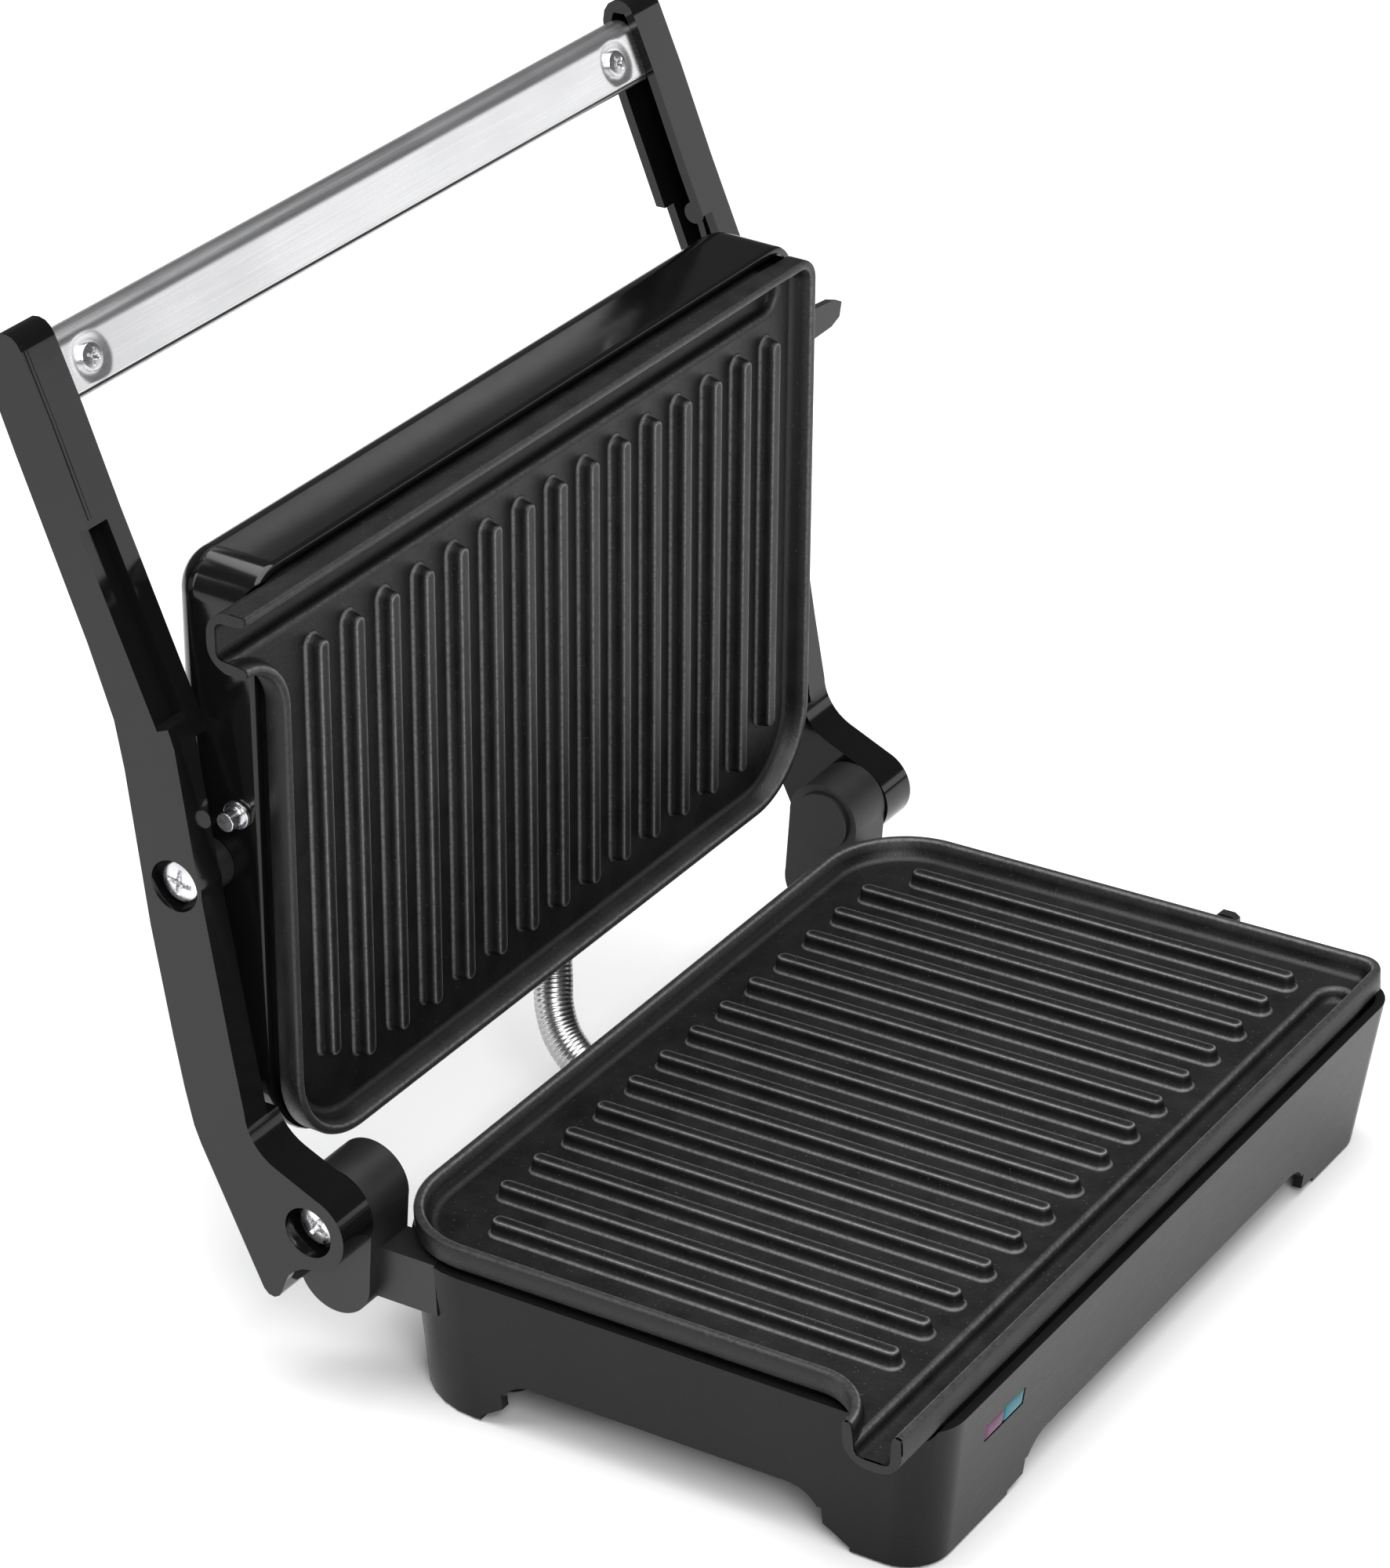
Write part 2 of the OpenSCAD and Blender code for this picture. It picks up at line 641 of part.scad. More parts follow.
module handle_screws() color([0.75, 0.75, 0.77]) both() at_handle()
  translate([handle_screw_x, -0.02, handle_h * 0.45]) rotate([90, 0, 0])
    screw(3.4, 1.2, screw_core - 0.05, 6);

// ---------- upper head ----------

// Rounded body of the upper housing, moved inwards by t
module head_body(t, low, high) {
  hull() {
    for (s = [[0, high], [0, low + head_bevel], [head_bevel * 0.3, low + head_bevel * 0.3],
              [head_bevel, low]])
      translate([0, 0, s[1]]) linear_extrude(eps)
        plan([-head_w / 2 + t + s[0], head_front + t + s[0]],
             [head_w / 2 - t - s[0], head_back - t - s[0]],
             head_front_r - t, head_front_r - t, head_r - t - s[0] / 2, $fn = facets);
  }
}

module upper_housing() color([0.05, 0.05, 0.05]) at_head() {
  difference() {
    head_body(0, -head_depth, head_lip);
    head_body(wall, -head_depth + wall, head_lip + 2);
    across(-hw - 20, -hw + 12) offset(delta = 0.6) trough(0, spout_low);
    both() translate([0, pivot_ly, pivot_lz]) rod(100, 120, 5.02);
    both() translate([0, stud_yz.x, stud_yz.y]) rod(100, 120, 2.42);
    translate([0, latch_yz.x, latch_yz.y]) rod(100, 120, latch_pin_r + run);
    translate([head_gland.x, head_back + 5, head_gland.z]) rotate([90, 0, 0])
      cylinder(r = 5.9, h = 20);
  }
  both() difference() {
    translate([0, pivot_ly, pivot_lz]) intersection() {
      rod(109, head_w / 2 - wall + 0.5, 7.6);
      translate([100, -10, -6]) cube([20, 20, 12]);
    }
    translate([0, pivot_ly, pivot_lz]) rod(100, 120, 5.02);
  }
  for (p = head_lugs) difference() {
    translate([p.x > 0 ? p.x - 5 : p.x - 14, p.y - 6, head_lug_z]) cube([19, 12, lug_t]);
    translate([p.x, p.y, head_lug_z - 1]) cylinder(r = screw_hole, h = 10);
  }
}

module upper_plate() color([0.13, 0.13, 0.13])
  at_head() grill_plate(head_lugs, head_lug_z + lug_t + 0.05);

module upper_plate_screws() color([0.7, 0.7, 0.72]) at_head()
  for (p = head_lugs) translate([p.x, p.y, head_lug_z]) mirror([0, 0, 1])
    screw(3.2, 1.6, screw_core - 0.05, lug_t + 5.5);

module upper_element() color([0.45, 0.45, 0.45]) at_head() element();

module upper_reflector() color([0.75, 0.75, 0.76]) at_head() reflector();

module thermal_fuse() color([0.85, 0.82, 0.7]) at_head()
  translate([-10, 61, floor_low - 3]) rod(0, 20, 2);

module pivot_bushes() color([0.75, 0.6, 0.3]) at_head() both()
  translate([0, pivot_ly, pivot_lz]) difference() {
    union() {
      rod(109, head_w / 2 + 0.2, 5);
      rod(head_w / 2 + 0.1, arm_low_in - collar_gap, 6.6);
    }
    rod(100, 130, pivot_pin_r + run);
  }

module stop_studs() color([0.75, 0.75, 0.77]) at_head() both()
  translate([0, stud_yz.x, stud_yz.y]) {
    rod(110, head_w / 2 + 5.4, 2.4);
    rod(head_w / 2 + 0.1, head_w / 2 + 1.4, 3.6);
  }

module head_conduit_gland() color([0.3, 0.3, 0.3]) at_head()
  translate([head_gland.x, head_gland.y + 0.1, head_gland.z]) rotate([-90, 0, 0])
    gland(4, 5.8, 9, 1, 6);

// Swing latch on the right side of the head: lever with its toe, rivet and thumb tab. It is drawn
// with the toe pointing at the base, then folded up along the side of the head.
module latch_lever() color([0.12, 0.12, 0.12]) at_head() {
  side = head_w / 2 + 0.4;
  across(side, side + 2) translate(latch_yz) rotate(latch_fold) {
    circle(r = 4);
    translate([-2, 0]) square([4, 21.6]);
    polygon([[1, 18.8], [6.5, 18.8], [6.5, 20], [4.9, 21.6], [1, 21.6]]);
  }
  translate([0, latch_yz.x, latch_yz.y]) {
    rod(110, side + 1, latch_pin_r);
    rod(side + 1, side + 2.8, 2.8);
  }
  slab(-7.2, -5.2) polygon([[side + 1, 3], [side + 20, 5], [side + 25, 7], [side + 24, 11],
                            [side + 20, 12.5], [side + 1, 13]]);
}

base_housing();
bottom_cover();
cover_screws();
rubber_feet();
lower_plate();
lower_plate_screws();
lower_element();
lower_reflector();
thermostat();
terminal_block();
power_lens();
ready_lens();
lamp_board();
hinge_post_left();
hinge_post_right();
post_screws();
hinge_bushes();
base_conduit_gland();
mains_inlet();
latch_catch();
wire_conduit();
left_arm();
right_arm();
hinge_pins();
pivot_pins();
handle_sleeve();
handle_core();
handle_screws();
upper_housing();
upper_plate();
upper_plate_screws();
upper_element();
upper_reflector();
thermal_fuse();
pivot_bushes();
stop_studs();
head_conduit_gland();
latch_lever();
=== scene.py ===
"""Panini press with its lid open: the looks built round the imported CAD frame."""
import math

import bmesh
import bpy
import numpy as np
from mathutils import Matrix, Vector


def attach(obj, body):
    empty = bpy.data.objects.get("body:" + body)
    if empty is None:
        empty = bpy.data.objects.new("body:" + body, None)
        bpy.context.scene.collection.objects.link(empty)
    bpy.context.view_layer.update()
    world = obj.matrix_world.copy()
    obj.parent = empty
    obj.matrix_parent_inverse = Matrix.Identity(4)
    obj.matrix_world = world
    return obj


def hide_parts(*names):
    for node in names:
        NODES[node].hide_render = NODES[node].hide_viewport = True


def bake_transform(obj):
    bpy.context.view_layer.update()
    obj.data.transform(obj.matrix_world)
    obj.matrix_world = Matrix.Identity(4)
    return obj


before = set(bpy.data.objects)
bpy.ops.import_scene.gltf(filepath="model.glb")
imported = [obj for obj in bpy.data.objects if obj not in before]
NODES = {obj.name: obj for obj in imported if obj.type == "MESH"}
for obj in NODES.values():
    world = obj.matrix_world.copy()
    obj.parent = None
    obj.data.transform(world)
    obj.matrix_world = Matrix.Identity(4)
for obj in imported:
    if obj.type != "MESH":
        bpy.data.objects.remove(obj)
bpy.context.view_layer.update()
MM = 0.001

# ---------------------------------------------------------------- camera

CAMERA_AT = (-0.94221, -0.57510, 0.72560)   # metres
RIGHT = Vector((0.546130, -0.836960, -0.035211))
DOWN = Vector((-0.400051, -0.223648, -0.888786))
AHEAD = Vector((0.736004, 0.499479, -0.456968))
SENSOR_MM, LENS_MM = 36.0, 119.675
SHIFT_X, SHIFT_Y = 0.01404, -0.05026


def add_camera():
    """Camera from its place and its three axes, with everything in focus."""
    data = bpy.data.cameras.new("camera")
    data.sensor_width = SENSOR_MM
    data.sensor_fit = "AUTO"
    data.lens = LENS_MM
    data.shift_x, data.shift_y = SHIFT_X, SHIFT_Y
    data.clip_start, data.clip_end = 0.05, 60.0
    data.dof.use_dof = False
    camera = bpy.data.objects.new("camera", data)
    turn = Matrix((RIGHT, -DOWN, -AHEAD)).transposed()
    camera.matrix_world = Matrix.Translation(CAMERA_AT) @ turn.to_4x4()
    bpy.context.scene.collection.objects.link(camera)
    bpy.context.scene.camera = camera


add_camera()

# ---------------------------------------------------------------- places, in millimetres

HINGE_Y, HINGE_Z = 86.2, 53.1
PIVOT_Y, PIVOT_Z = HINGE_Y + 31.6, HINGE_Z + 85.4
IN_BASE = Matrix.Translation((0, -58, 47.5))
IN_HEAD = (Matrix.Translation((0, PIVOT_Y, PIVOT_Z))
           @ Matrix.Rotation(math.radians(-87.3), 4, "X")
           @ Matrix.Diagonal((1, 1, -1, 1))
           @ Matrix.Translation((0, -57.3, 19.5)))
IN_HANDLE = (Matrix.Translation((0, HINGE_Y + 58.4, HINGE_Z + 197.5))
             @ Matrix.Rotation(math.radians(-21), 4, "X"))
HERE = Matrix.Identity(4)

# ---------------------------------------------------------------- mesh helpers

CREASE = 35.0           # edges sharper than this, in degrees, stay sharp in the shading
COPY_CREASE = 40.0
WELD_M = 2e-6           # points closer than this are one
FLAT_DEG = 0.6          # faces flatter than this to each other become one
ROUNDED_DEG = 32.0      # edges sharper than this are rounded


def make_piece(name, parts, place=HERE, crease=CREASE):
    """One object from several (points, faces, painted highlight of each point) shells given in
    millimetres.
    """
    bm = bmesh.new()
    layer = bm.verts.layers.float.new("painted_highlight")
    for points, faces, *painted_highlight in parts:
        verts = [bm.verts.new((place @ Vector(p)) * MM) for p in points]
        for vert, amount in zip(verts, painted_highlight[0] if painted_highlight else ()):
            vert[layer] = amount
        for face in faces:
            bm.faces.new([verts[i] for i in face])
    bmesh.ops.recalc_face_normals(bm, faces=bm.faces)
    mesh = bpy.data.meshes.new(name)
    bm.to_mesh(mesh)
    bm.free()
    return finish_mesh(name, mesh, crease)


def finish_mesh(name, mesh, crease):
    """Smooth shading with sharp edges past the crease angle, as an object in the scene."""
    mesh.shade_smooth()
    mesh.set_sharp_from_angle(angle=math.radians(crease))
    piece = bpy.data.objects.new(name, mesh)
    bpy.context.scene.collection.objects.link(piece)
    return piece


def loft(rings, around=True, loop=False):
    """Skin through rings of equally many points, with flat end caps unless loop joins them."""
    n, m = len(rings[0]), len(rings)
    points = [tuple(p) for ring in rings for p in ring]
    faces = []
    for k in range(m if loop else m - 1):
        a, b = k * n, ((k + 1) % m) * n
        for j in range(n if around else n - 1):
            i = (j + 1) % n
            faces.append((a + j, a + i, b + i, b + j))
    if not loop:
        faces.append(tuple(range(n - 1, -1, -1)))
        faces.append(tuple(range((m - 1) * n, m * n)))
    return points, faces


def with_painted_highlight(shell, amounts, around=None):
    """Marks a loft's points for the painted highlight: amounts per ring, or per place round a
    ring when around is given.
    """
    points, faces = shell
    if around is None:
        size = len(points) // len(amounts)
        return points, faces, [amounts[k // size] for k in range(len(points))]
    return points, faces, [amounts[k % around] for k in range(len(points))]


def circle(count):
    """Angles of a full turn."""
    return np.linspace(0, 2 * math.pi, count, endpoint=False)


def slab(outline, low, high):
    """Flat plate of an outline between two heights."""
    return loft([[(x, y, low) for x, y in outline], [(x, y, high) for x, y in outline]])


def arc(cx, cy, r, a0, a1, n):
    """Points of an arc with their outward directions, angles in degrees."""
    out = []
    for k in range(n + 1):
        a = math.radians(a0 + (a1 - a0) * k / n)
        out.append(((cx + r * math.cos(a), cy + r * math.sin(a)), (math.cos(a), math.sin(a))))
    return out


def smooth_step(x):
    """0 below 0, 1 above 1, and an S-curve between."""
    x = min(max(x, 0.0), 1.0)
    return x * x * (3 - 2 * x)


def evaluated_mesh(piece):
    """A new mesh of the piece with its modifiers applied."""
    bpy.context.view_layer.update()
    graph = bpy.context.evaluated_depsgraph_get()
    return bpy.data.meshes.new_from_object(piece.evaluated_get(graph))


def bevelled(node, width):
    """A copy of a CAD node's solid with its edges rounded, which stands for that node."""
    mesh = NODES[node].data.copy()
    bm = bmesh.new()
    bm.from_mesh(mesh)
    bmesh.ops.remove_doubles(bm, verts=bm.verts, dist=WELD_M)
    bmesh.ops.dissolve_limit(bm, angle_limit=math.radians(FLAT_DEG), verts=bm.verts,
                             edges=bm.edges)
    bm.to_mesh(mesh)
    bm.free()
    mesh.materials.clear()
    piece = bpy.data.objects.new("tmp_" + node, mesh)
    bpy.context.scene.collection.objects.link(piece)
    if "custom_normal" in mesh.attributes:
        mesh.attributes.remove(mesh.attributes["custom_normal"])
    mod = piece.modifiers.new("edge", "BEVEL")
    mod.width = width * MM
    mod.segments = 2
    mod.limit_method = "ANGLE"
    mod.angle_limit = math.radians(ROUNDED_DEG)
    mod.use_clamp_overlap = True
    mod.miter_outer = "MITER_ARC"
    result = evaluated_mesh(piece)
    bpy.data.objects.remove(piece)
    return even_out(finish_mesh(node + "_shell", result, COPY_CREASE))


def even_out(piece):
    """Large flat faces keep their own normals, so the roundings alone carry the shading."""
    piece.modifiers.new("normals", "WEIGHTED_NORMAL").keep_sharp = True
    shaded = evaluated_mesh(piece)
    piece.modifiers.clear()
    piece.data = shaded
    return piece


def carve(piece, cutter):
    """Cuts cutter out of piece, and throws cutter away."""
    mod = piece.modifiers.new("cut", "BOOLEAN")
    mod.operation = "DIFFERENCE"
    mod.solver = "EXACT"
    mod.object = cutter
    result = evaluated_mesh(piece)
    piece.modifiers.clear()
    piece.data = result
    result.shade_smooth()
    result.set_sharp_from_angle(angle=math.radians(CREASE))
    bpy.data.objects.remove(cutter)
    return even_out(piece)


# ---------------------------------------------------------------- materials


class Look:
    """A node material under construction."""

    def __init__(self, name, color, rough, metallic=0.0, specular=0.5):
        self.mat = bpy.data.materials.new(name)
        self.mat.use_nodes = True
        self.tree = self.mat.node_tree
        self.shader = self.tree.nodes["Principled BSDF"]
        self.shader.inputs["Metallic"].default_value = metallic
        self.shader.inputs["Specular IOR Level"].default_value = specular
        self.shader.inputs["Base Color"].default_value = (*color, 1)
        self.shader.inputs["Roughness"].default_value = rough
        self.where = self.tree.nodes.new("ShaderNodeTexCoord")

    def link(self, out, into):
        """Joins an output to an input."""
        self.tree.links.new(out, into)

    def node(self, kind, **values):
        """A new node; values set its properties or, failing that, its sockets."""
        made = self.tree.nodes.new(kind)
        for key, value in values.items():
            if hasattr(made, key):
                setattr(made, key, value)
            else:
                made.inputs[key.replace("_", " ")].default_value = value
        return made

    def coords(self, stretch=(1, 1, 1), turn=(0, 0, 0)):
        """The object's own coordinates, scaled and turned."""
        mapping = self.node("ShaderNodeMapping")
        mapping.inputs["Scale"].default_value = stretch
        mapping.inputs["Rotation"].default_value = turn
        self.link(self.where.outputs["Object"], mapping.inputs["Vector"])
        return mapping.outputs["Vector"]

    def noise(self, scale, detail=3.0, rough=0.55, stretch=(1, 1, 1), turn=(0, 0, 0)):
        """Soft noise in the object's own coordinates; scale counts cells per metre."""
        made = self.node("ShaderNodeTexNoise", Scale=scale, Detail=detail, Roughness=rough)
        self.link(self.coords(stretch, turn), made.inputs["Vector"])
        return made.outputs["Fac"]

    def ranged(self, value, low, high, to_low, to_high):
        """Maps low..high to to_low..to_high, and holds the ends."""
        made = self.node("ShaderNodeMapRange")
        made.clamp = True
        for key, number in (("From Min", low), ("From Max", high),
                            ("To Min", to_low), ("To Max", to_high)):
            made.inputs[key].default_value = number
        self.link(value, made.inputs["Value"])
        return made.outputs["Result"]

    def blend(self, amount, a, b):
        """Colour a where amount is 0, colour b where it is 1."""
        made = self.node("ShaderNodeMix", data_type="RGBA")
        self.link(amount, made.inputs["Factor"])
        for slot, what in (("A", a), ("B", b)):
            socket = [s for s in made.inputs if s.name == slot and s.type == "RGBA"][0]
            if isinstance(what, tuple):
                socket.default_value = (*what, 1)
            else:
                self.link(what, socket)
        return [s for s in made.outputs if s.type == "RGBA"][0]

    def combine(self, a, b, operation="ADD"):
        """A sum or other operation on two values, each a float or an output."""
        made = self.node("ShaderNodeMath", operation=operation)
        for k, what in enumerate((a, b)):
            if isinstance(what, float):
                made.inputs[k].default_value = what
            else:
                self.link(what, made.inputs[k])
        return made.outputs[0]

    def painted_highlight_amount(self):
        """Painted highlight: high along the edges that were marked for it when the mesh was made.
        """
        made = self.node("ShaderNodeAttribute", attribute_name="painted_highlight")
        return made.outputs["Fac"]

    def use(self, color, rough=None, bumps=()):
        """Links colour, roughness and a chain of (height, strength, distance) bumps."""
        self.link(color, self.shader.inputs["Base Color"])
        if rough is not None:
            self.link(rough, self.shader.inputs["Roughness"])
        last = None
        for height, strength, distance in bumps:
            made = self.node("ShaderNodeBump")
            made.inputs["Strength"].default_value = strength
            made.inputs["Distance"].default_value = distance
            self.link(height, made.inputs["Height"])
            if last is not None:
                self.link(last, made.inputs["Normal"])
            last = made.outputs["Normal"]
        if last is not None:
            self.link(last, self.shader.inputs["Normal"])
        return self.mat


def gloss_plastic(name, color, rough, specular=0.34):
    """Injection-moulded gloss black: faint waviness, fine dust and a few polishing marks."""
    k = Look(name, color, rough, specular=specular)
    broad = k.noise(14, 2)
    dust = k.noise(2600, 2, 0.7)
    marks = k.noise(90, 3, 0.6, stretch=(1, 1, 9), turn=(0.3, 0.2, 0))
    tint = tuple(c * 1.3 + 0.001 for c in color)
    hue = k.blend(k.ranged(broad, 0.35, 0.7, 0.0, 1.0), color, tint)
    hue = k.blend(k.ranged(dust, 0.7, 0.8, 0.0, 0.22), hue, (0.16, 0.16, 0.16))
    soft = k.combine(k.ranged(marks, 0.35, 0.75, rough - 0.01, rough + 0.025),
                     k.ranged(dust, 0.66, 0.8, 0.0, 0.14))
    return k.use(hue, soft, [(broad, 0.03, 0.002), (dust, 0.02, 0.0001)])


def matt_plastic(name, color, rough):
    """Spark-eroded matt plastic: a fine even grain, with slow changes in tone and roughness."""
    k = Look(name, color, rough, specular=0.45)
    fine = k.noise(3200, 2, 0.6)
    coarse = k.noise(35, 3)
    hue = k.blend(k.ranged(coarse, 0.3, 0.7, 0.0, 1.0), color,
                  tuple(c * 1.35 + 0.003 for c in color))
    soft = k.ranged(coarse, 0.3, 0.7, rough - 0.05, rough + 0.06)
    return k.use(hue, soft, [(fine, 0.12, 0.0002), (coarse, 0.04, 0.002)])


def nonstick_coat():
    """Sprayed non-stick coat on a casting: orange peel, light flecks, and a painted highlight
    along the rib edges, rim and channel lip.
    """
    k = Look("nonstick", (0.006, 0.006, 0.0063), 0.4, specular=0.26)
    peel = k.noise(1400, 3, 0.6)
    cast = k.noise(120, 3, 0.5)
    flecks = k.node("ShaderNodeTexVoronoi", Scale=900.0)
    k.link(k.coords(), flecks.inputs["Vector"])
    fleck = k.ranged(flecks.outputs["Distance"], 0.10, 0.2, 1.0, 0.0)
    some = k.ranged(k.noise(700, 1), 0.56, 0.6, 0.0, 0.5)
    hue = k.blend(k.ranged(cast, 0.3, 0.7, 0.0, 1.0), (0.005, 0.005, 0.0053),
                  (0.0085, 0.0085, 0.009))
    hue = k.blend(k.combine(fleck, some, "MULTIPLY"), hue, (0.10, 0.10, 0.105))
    # Painted highlight: light grey lines along the marked edges, broken up by noise
    highlight_mask = k.combine(k.painted_highlight_amount(), k.ranged(k.noise(900, 2, 0.7), 0.3, 0.6, 0.5, 1.0),
                       "MULTIPLY")
    hue = k.blend(highlight_mask, hue, (0.17, 0.17, 0.17))
    soft = k.combine(k.ranged(cast, 0.3, 0.7, 0.36, 0.46),
                     k.ranged(peel, 0.3, 0.7, -0.03, 0.05))
    return k.use(hue, soft, [(peel, 0.34, 0.00025), (cast, 0.10, 0.001)])


def brushed_steel(name, color, rough, along):
    """Steel with its brushing lines running along one axis, and faint finger smears."""
    stretch = [1.0, 1.0, 1.0]
    stretch[along] = 0.012
    k = Look(name, color, rough, metallic=1.0)
    lines = k.noise(2200, 4, 0.65, stretch=tuple(stretch))
    smear = k.noise(28, 3, 0.5)
    hue = k.blend(k.ranged(lines, 0.25, 0.75, 0.0, 1.0), tuple(c * 0.92 for c in color),
                  color)
    soft = k.combine(k.ranged(lines, 0.25, 0.75, rough - 0.03, rough + 0.04),
                     k.ranged(smear, 0.4, 0.7, 0.0, 0.03))
    return k.use(hue, soft, [(lines, 0.05, 0.00008), (smear, 0.008, 0.003)])


def plated_steel(name, color, rough):
    """Zinc or nickel plating: slight mottling and fine scratches."""
    k = Look(name, color, rough, metallic=1.0)
    mottle = k.noise(420, 3)
    scratch = k.noise(1500, 2, 0.7, stretch=(1, 6, 1), turn=(0.6, 0.2, 0.4))
    hue = k.blend(k.ranged(mottle, 0.3, 0.7, 0.0, 1.0), tuple(c * 0.8 for c in color),
                  color)
    soft = k.ranged(scratch, 0.3, 0.75, rough - 0.05, rough + 0.12)
    return k.use(hue, soft, [(scratch, 0.10, 0.0001), (mottle, 0.05, 0.0002)])


def moulded(name, color, rough, grain, depth, specular=0.4):
    """Ceramic, rubber, board and other plain inner parts, each with its own grain."""
    k = Look(name, color, rough, specular=specular)
    fine = k.noise(grain, 4, 0.6)
    broad = k.noise(grain / 12, 2)
    hue = k.blend(k.ranged(broad, 0.3, 0.7, 0.0, 1.0), tuple(c * 0.8 for c in color),
                  color)
    soft = k.ranged(fine, 0.3, 0.7, rough - 0.06, rough + 0.08)
    return k.use(hue, soft, [(fine, depth, 0.0003)])


def lens_plastic(name, color):
    """Tinted clear indicator window with a fine prismatic grid behind its polished face."""
    k = Look(name, color, 0.3, specular=0.1)
    grid = k.node("ShaderNodeTexChecker", Scale=2000.0)
    k.link(k.coords(turn=(0.2, 0.785, 0.1)), grid.inputs["Vector"])
    depth = k.noise(160, 3)
    hue = k.blend(k.ranged(depth, 0.3, 0.7, 0.0, 1.0), tuple(c * 0.45 for c in color),
                  color)
    hue = k.blend(k.combine(grid.outputs["Fac"], 0.35, "MULTIPLY"), hue,
                  tuple(min(1, c * 1.8) for c in color))
    return k.use(hue, k.ranged(depth, 0.3, 0.7, 0.12, 0.24), [(depth, 0.05, 0.0005)])


LOOKS = {
    "gloss_black": gloss_plastic("gloss_black", (0.003, 0.003, 0.0033), 0.11),
    "base_shell": gloss_plastic("base_shell", (0.006, 0.006, 0.0065), 0.28, 0.13),
    "matt_plastic": matt_plastic("matt_plastic", (0.008, 0.008, 0.0085), 0.44),
    "nonstick": nonstick_coat(),
    "handle_steel": brushed_steel("handle_steel", (0.80, 0.80, 0.81), 0.27, 0),
    "conduit_steel": plated_steel("conduit_steel", (0.47, 0.47, 0.47), 0.28),
    "screw_steel": plated_steel("screw_steel", (0.74, 0.74, 0.76), 0.22),
    "element_steel": plated_steel("element_steel", (0.24, 0.23, 0.22), 0.42),
    "reflector": brushed_steel("reflector", (0.7, 0.7, 0.71), 0.3, 1),
    "brass": plated_steel("brass", (0.72, 0.52, 0.24), 0.3),
    "rubber": moulded("rubber", (0.02, 0.02, 0.02), 0.75, 1800, 0.25, 0.3),
    "ceramic_part": moulded("ceramic_part", (0.72, 0.69, 0.6), 0.5, 1500, 0.15),
    "lens_purple": lens_plastic("lens_purple", (0.11, 0.03, 0.085)),
    "lens_teal": lens_plastic("lens_teal", (0.02, 0.16, 0.2)),
    "board": moulded("board", (0.10, 0.22, 0.09), 0.45, 900, 0.2),
}


def dress(piece, slot, body=None, nodes=()):
    """Gives a piece its material and slot, rides it on its body, and hides the CAD nodes it
    stands for.
    """
    piece.data.materials.clear()
    piece.data.materials.append(LOOKS[slot])
    if body is not None:
        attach(piece, body)
    if nodes:
        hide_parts(*nodes)
    return piece


# ---------------------------------------------------------------- grill plates

HW = 115.0                        # half the plate's width
P_FRONT, P_BACK = -18.5, 137.0    # its front and back edges; the ribs start at 0
REAR_R, FRONT_R = 25.0, 7.0       # its corner radii
SPOUT_OUT, SPOUT_W = 14.0, 15.5   # how far the spout stands out, and its width
SPOUT_X = -HW - SPOUT_OUT
SPOUT_R, SPOUT_MID_Z = 6.5, -1.5  # the spout's rounded bottom: its radius and centre
FLARE_Y = P_FRONT + SPOUT_W + SPOUT_OUT
CHANNEL_FRONT = P_FRONT + 2.9
CHANNEL_BACK = P_FRONT + SPOUT_W - 2.9
CHANNEL_END, CHANNEL_R = 104.0, 5.0
FLOOR = -2.0                      # height of the cooking surface
RIM_LOW, SKIRT_END_X = -3.0, -117.5
RIB_PITCH, RIB_LENGTH, RIB_END_R = 14.0, 121.6, 2.6
OUTER_RIB, OUTER_RIB_SHORTER = 7, 7.5

# Rim section as (inset from the outline, height): beside the ribs, and beside the channel
RIM_SIDE = [(0.35, -3.0), (0.0, -2.6), (0.0, 2.2), (0.2, 2.75), (0.7, 3.0), (1.7, 3.0),
            (2.2, 2.8), (2.55, 2.3), (3.2, 0.4), (4.0, -1.1), (4.8, -1.8), (5.9, FLOOR - 0.01),
            (5.9, -2.8), (5.5, -4.0), (5.5, -8.0), (3.0, -8.0), (3.0, -3.0)]
RIM_FRONT = [(0.0, -3.0), (0.0, -2.6), (0.0, 2.2), (0.2, 2.75), (0.7, 3.0), (1.5, 3.0),
             (2.0, 2.8), (2.35, 2.3), (2.65, 0.6), (2.75, -0.6), (2.85, -1.8), (2.9, -2.6),
             (2.4, -3.0), (2.4, -4.0), (2.4, -8.0), (1.0, -8.0), (1.0, -3.0)]
CHANNEL = [(-1.3, FLOOR + 0.02), (-0.75, -2.1), (-0.25, -2.5), (0.0, -3.2), (0.15, -4.2),
           (0.6, -5.0), (1.5, -5.5), (2.6, -5.6)]


def rim_path():
    """The open outline from spout to spout: point, inward direction, share of the channel."""
    path = []
    for x, share in ((SPOUT_X, 1), (-118, 1), (-100, 1), (90, 1), (97, 1), (99, 0.8),
                     (101, 0.5), (103, 0.2), (105, 0)):
        path.append(((x, P_FRONT), (0, 1), share))
    for p, d in arc(HW - FRONT_R, P_FRONT + FRONT_R, FRONT_R, -90, 0, 10):
        path.append((p, (-d[0], -d[1]), 0))
    for p, d in arc(HW - REAR_R, P_BACK - REAR_R, REAR_R, 0, 90, 22):
        path.append((p, (-d[0], -d[1]), 0))
    for p, d in arc(-HW + REAR_R, P_BACK - REAR_R, REAR_R, 90, 180, 22):
        path.append((p, (-d[0], -d[1]), 0))
    n = 18
    for k, (p, d) in enumerate(arc(SPOUT_X, FLARE_Y, SPOUT_OUT, 0, -90, n)):
        path.append((p, d, smooth_step(1.15 * k / n)))
    return path


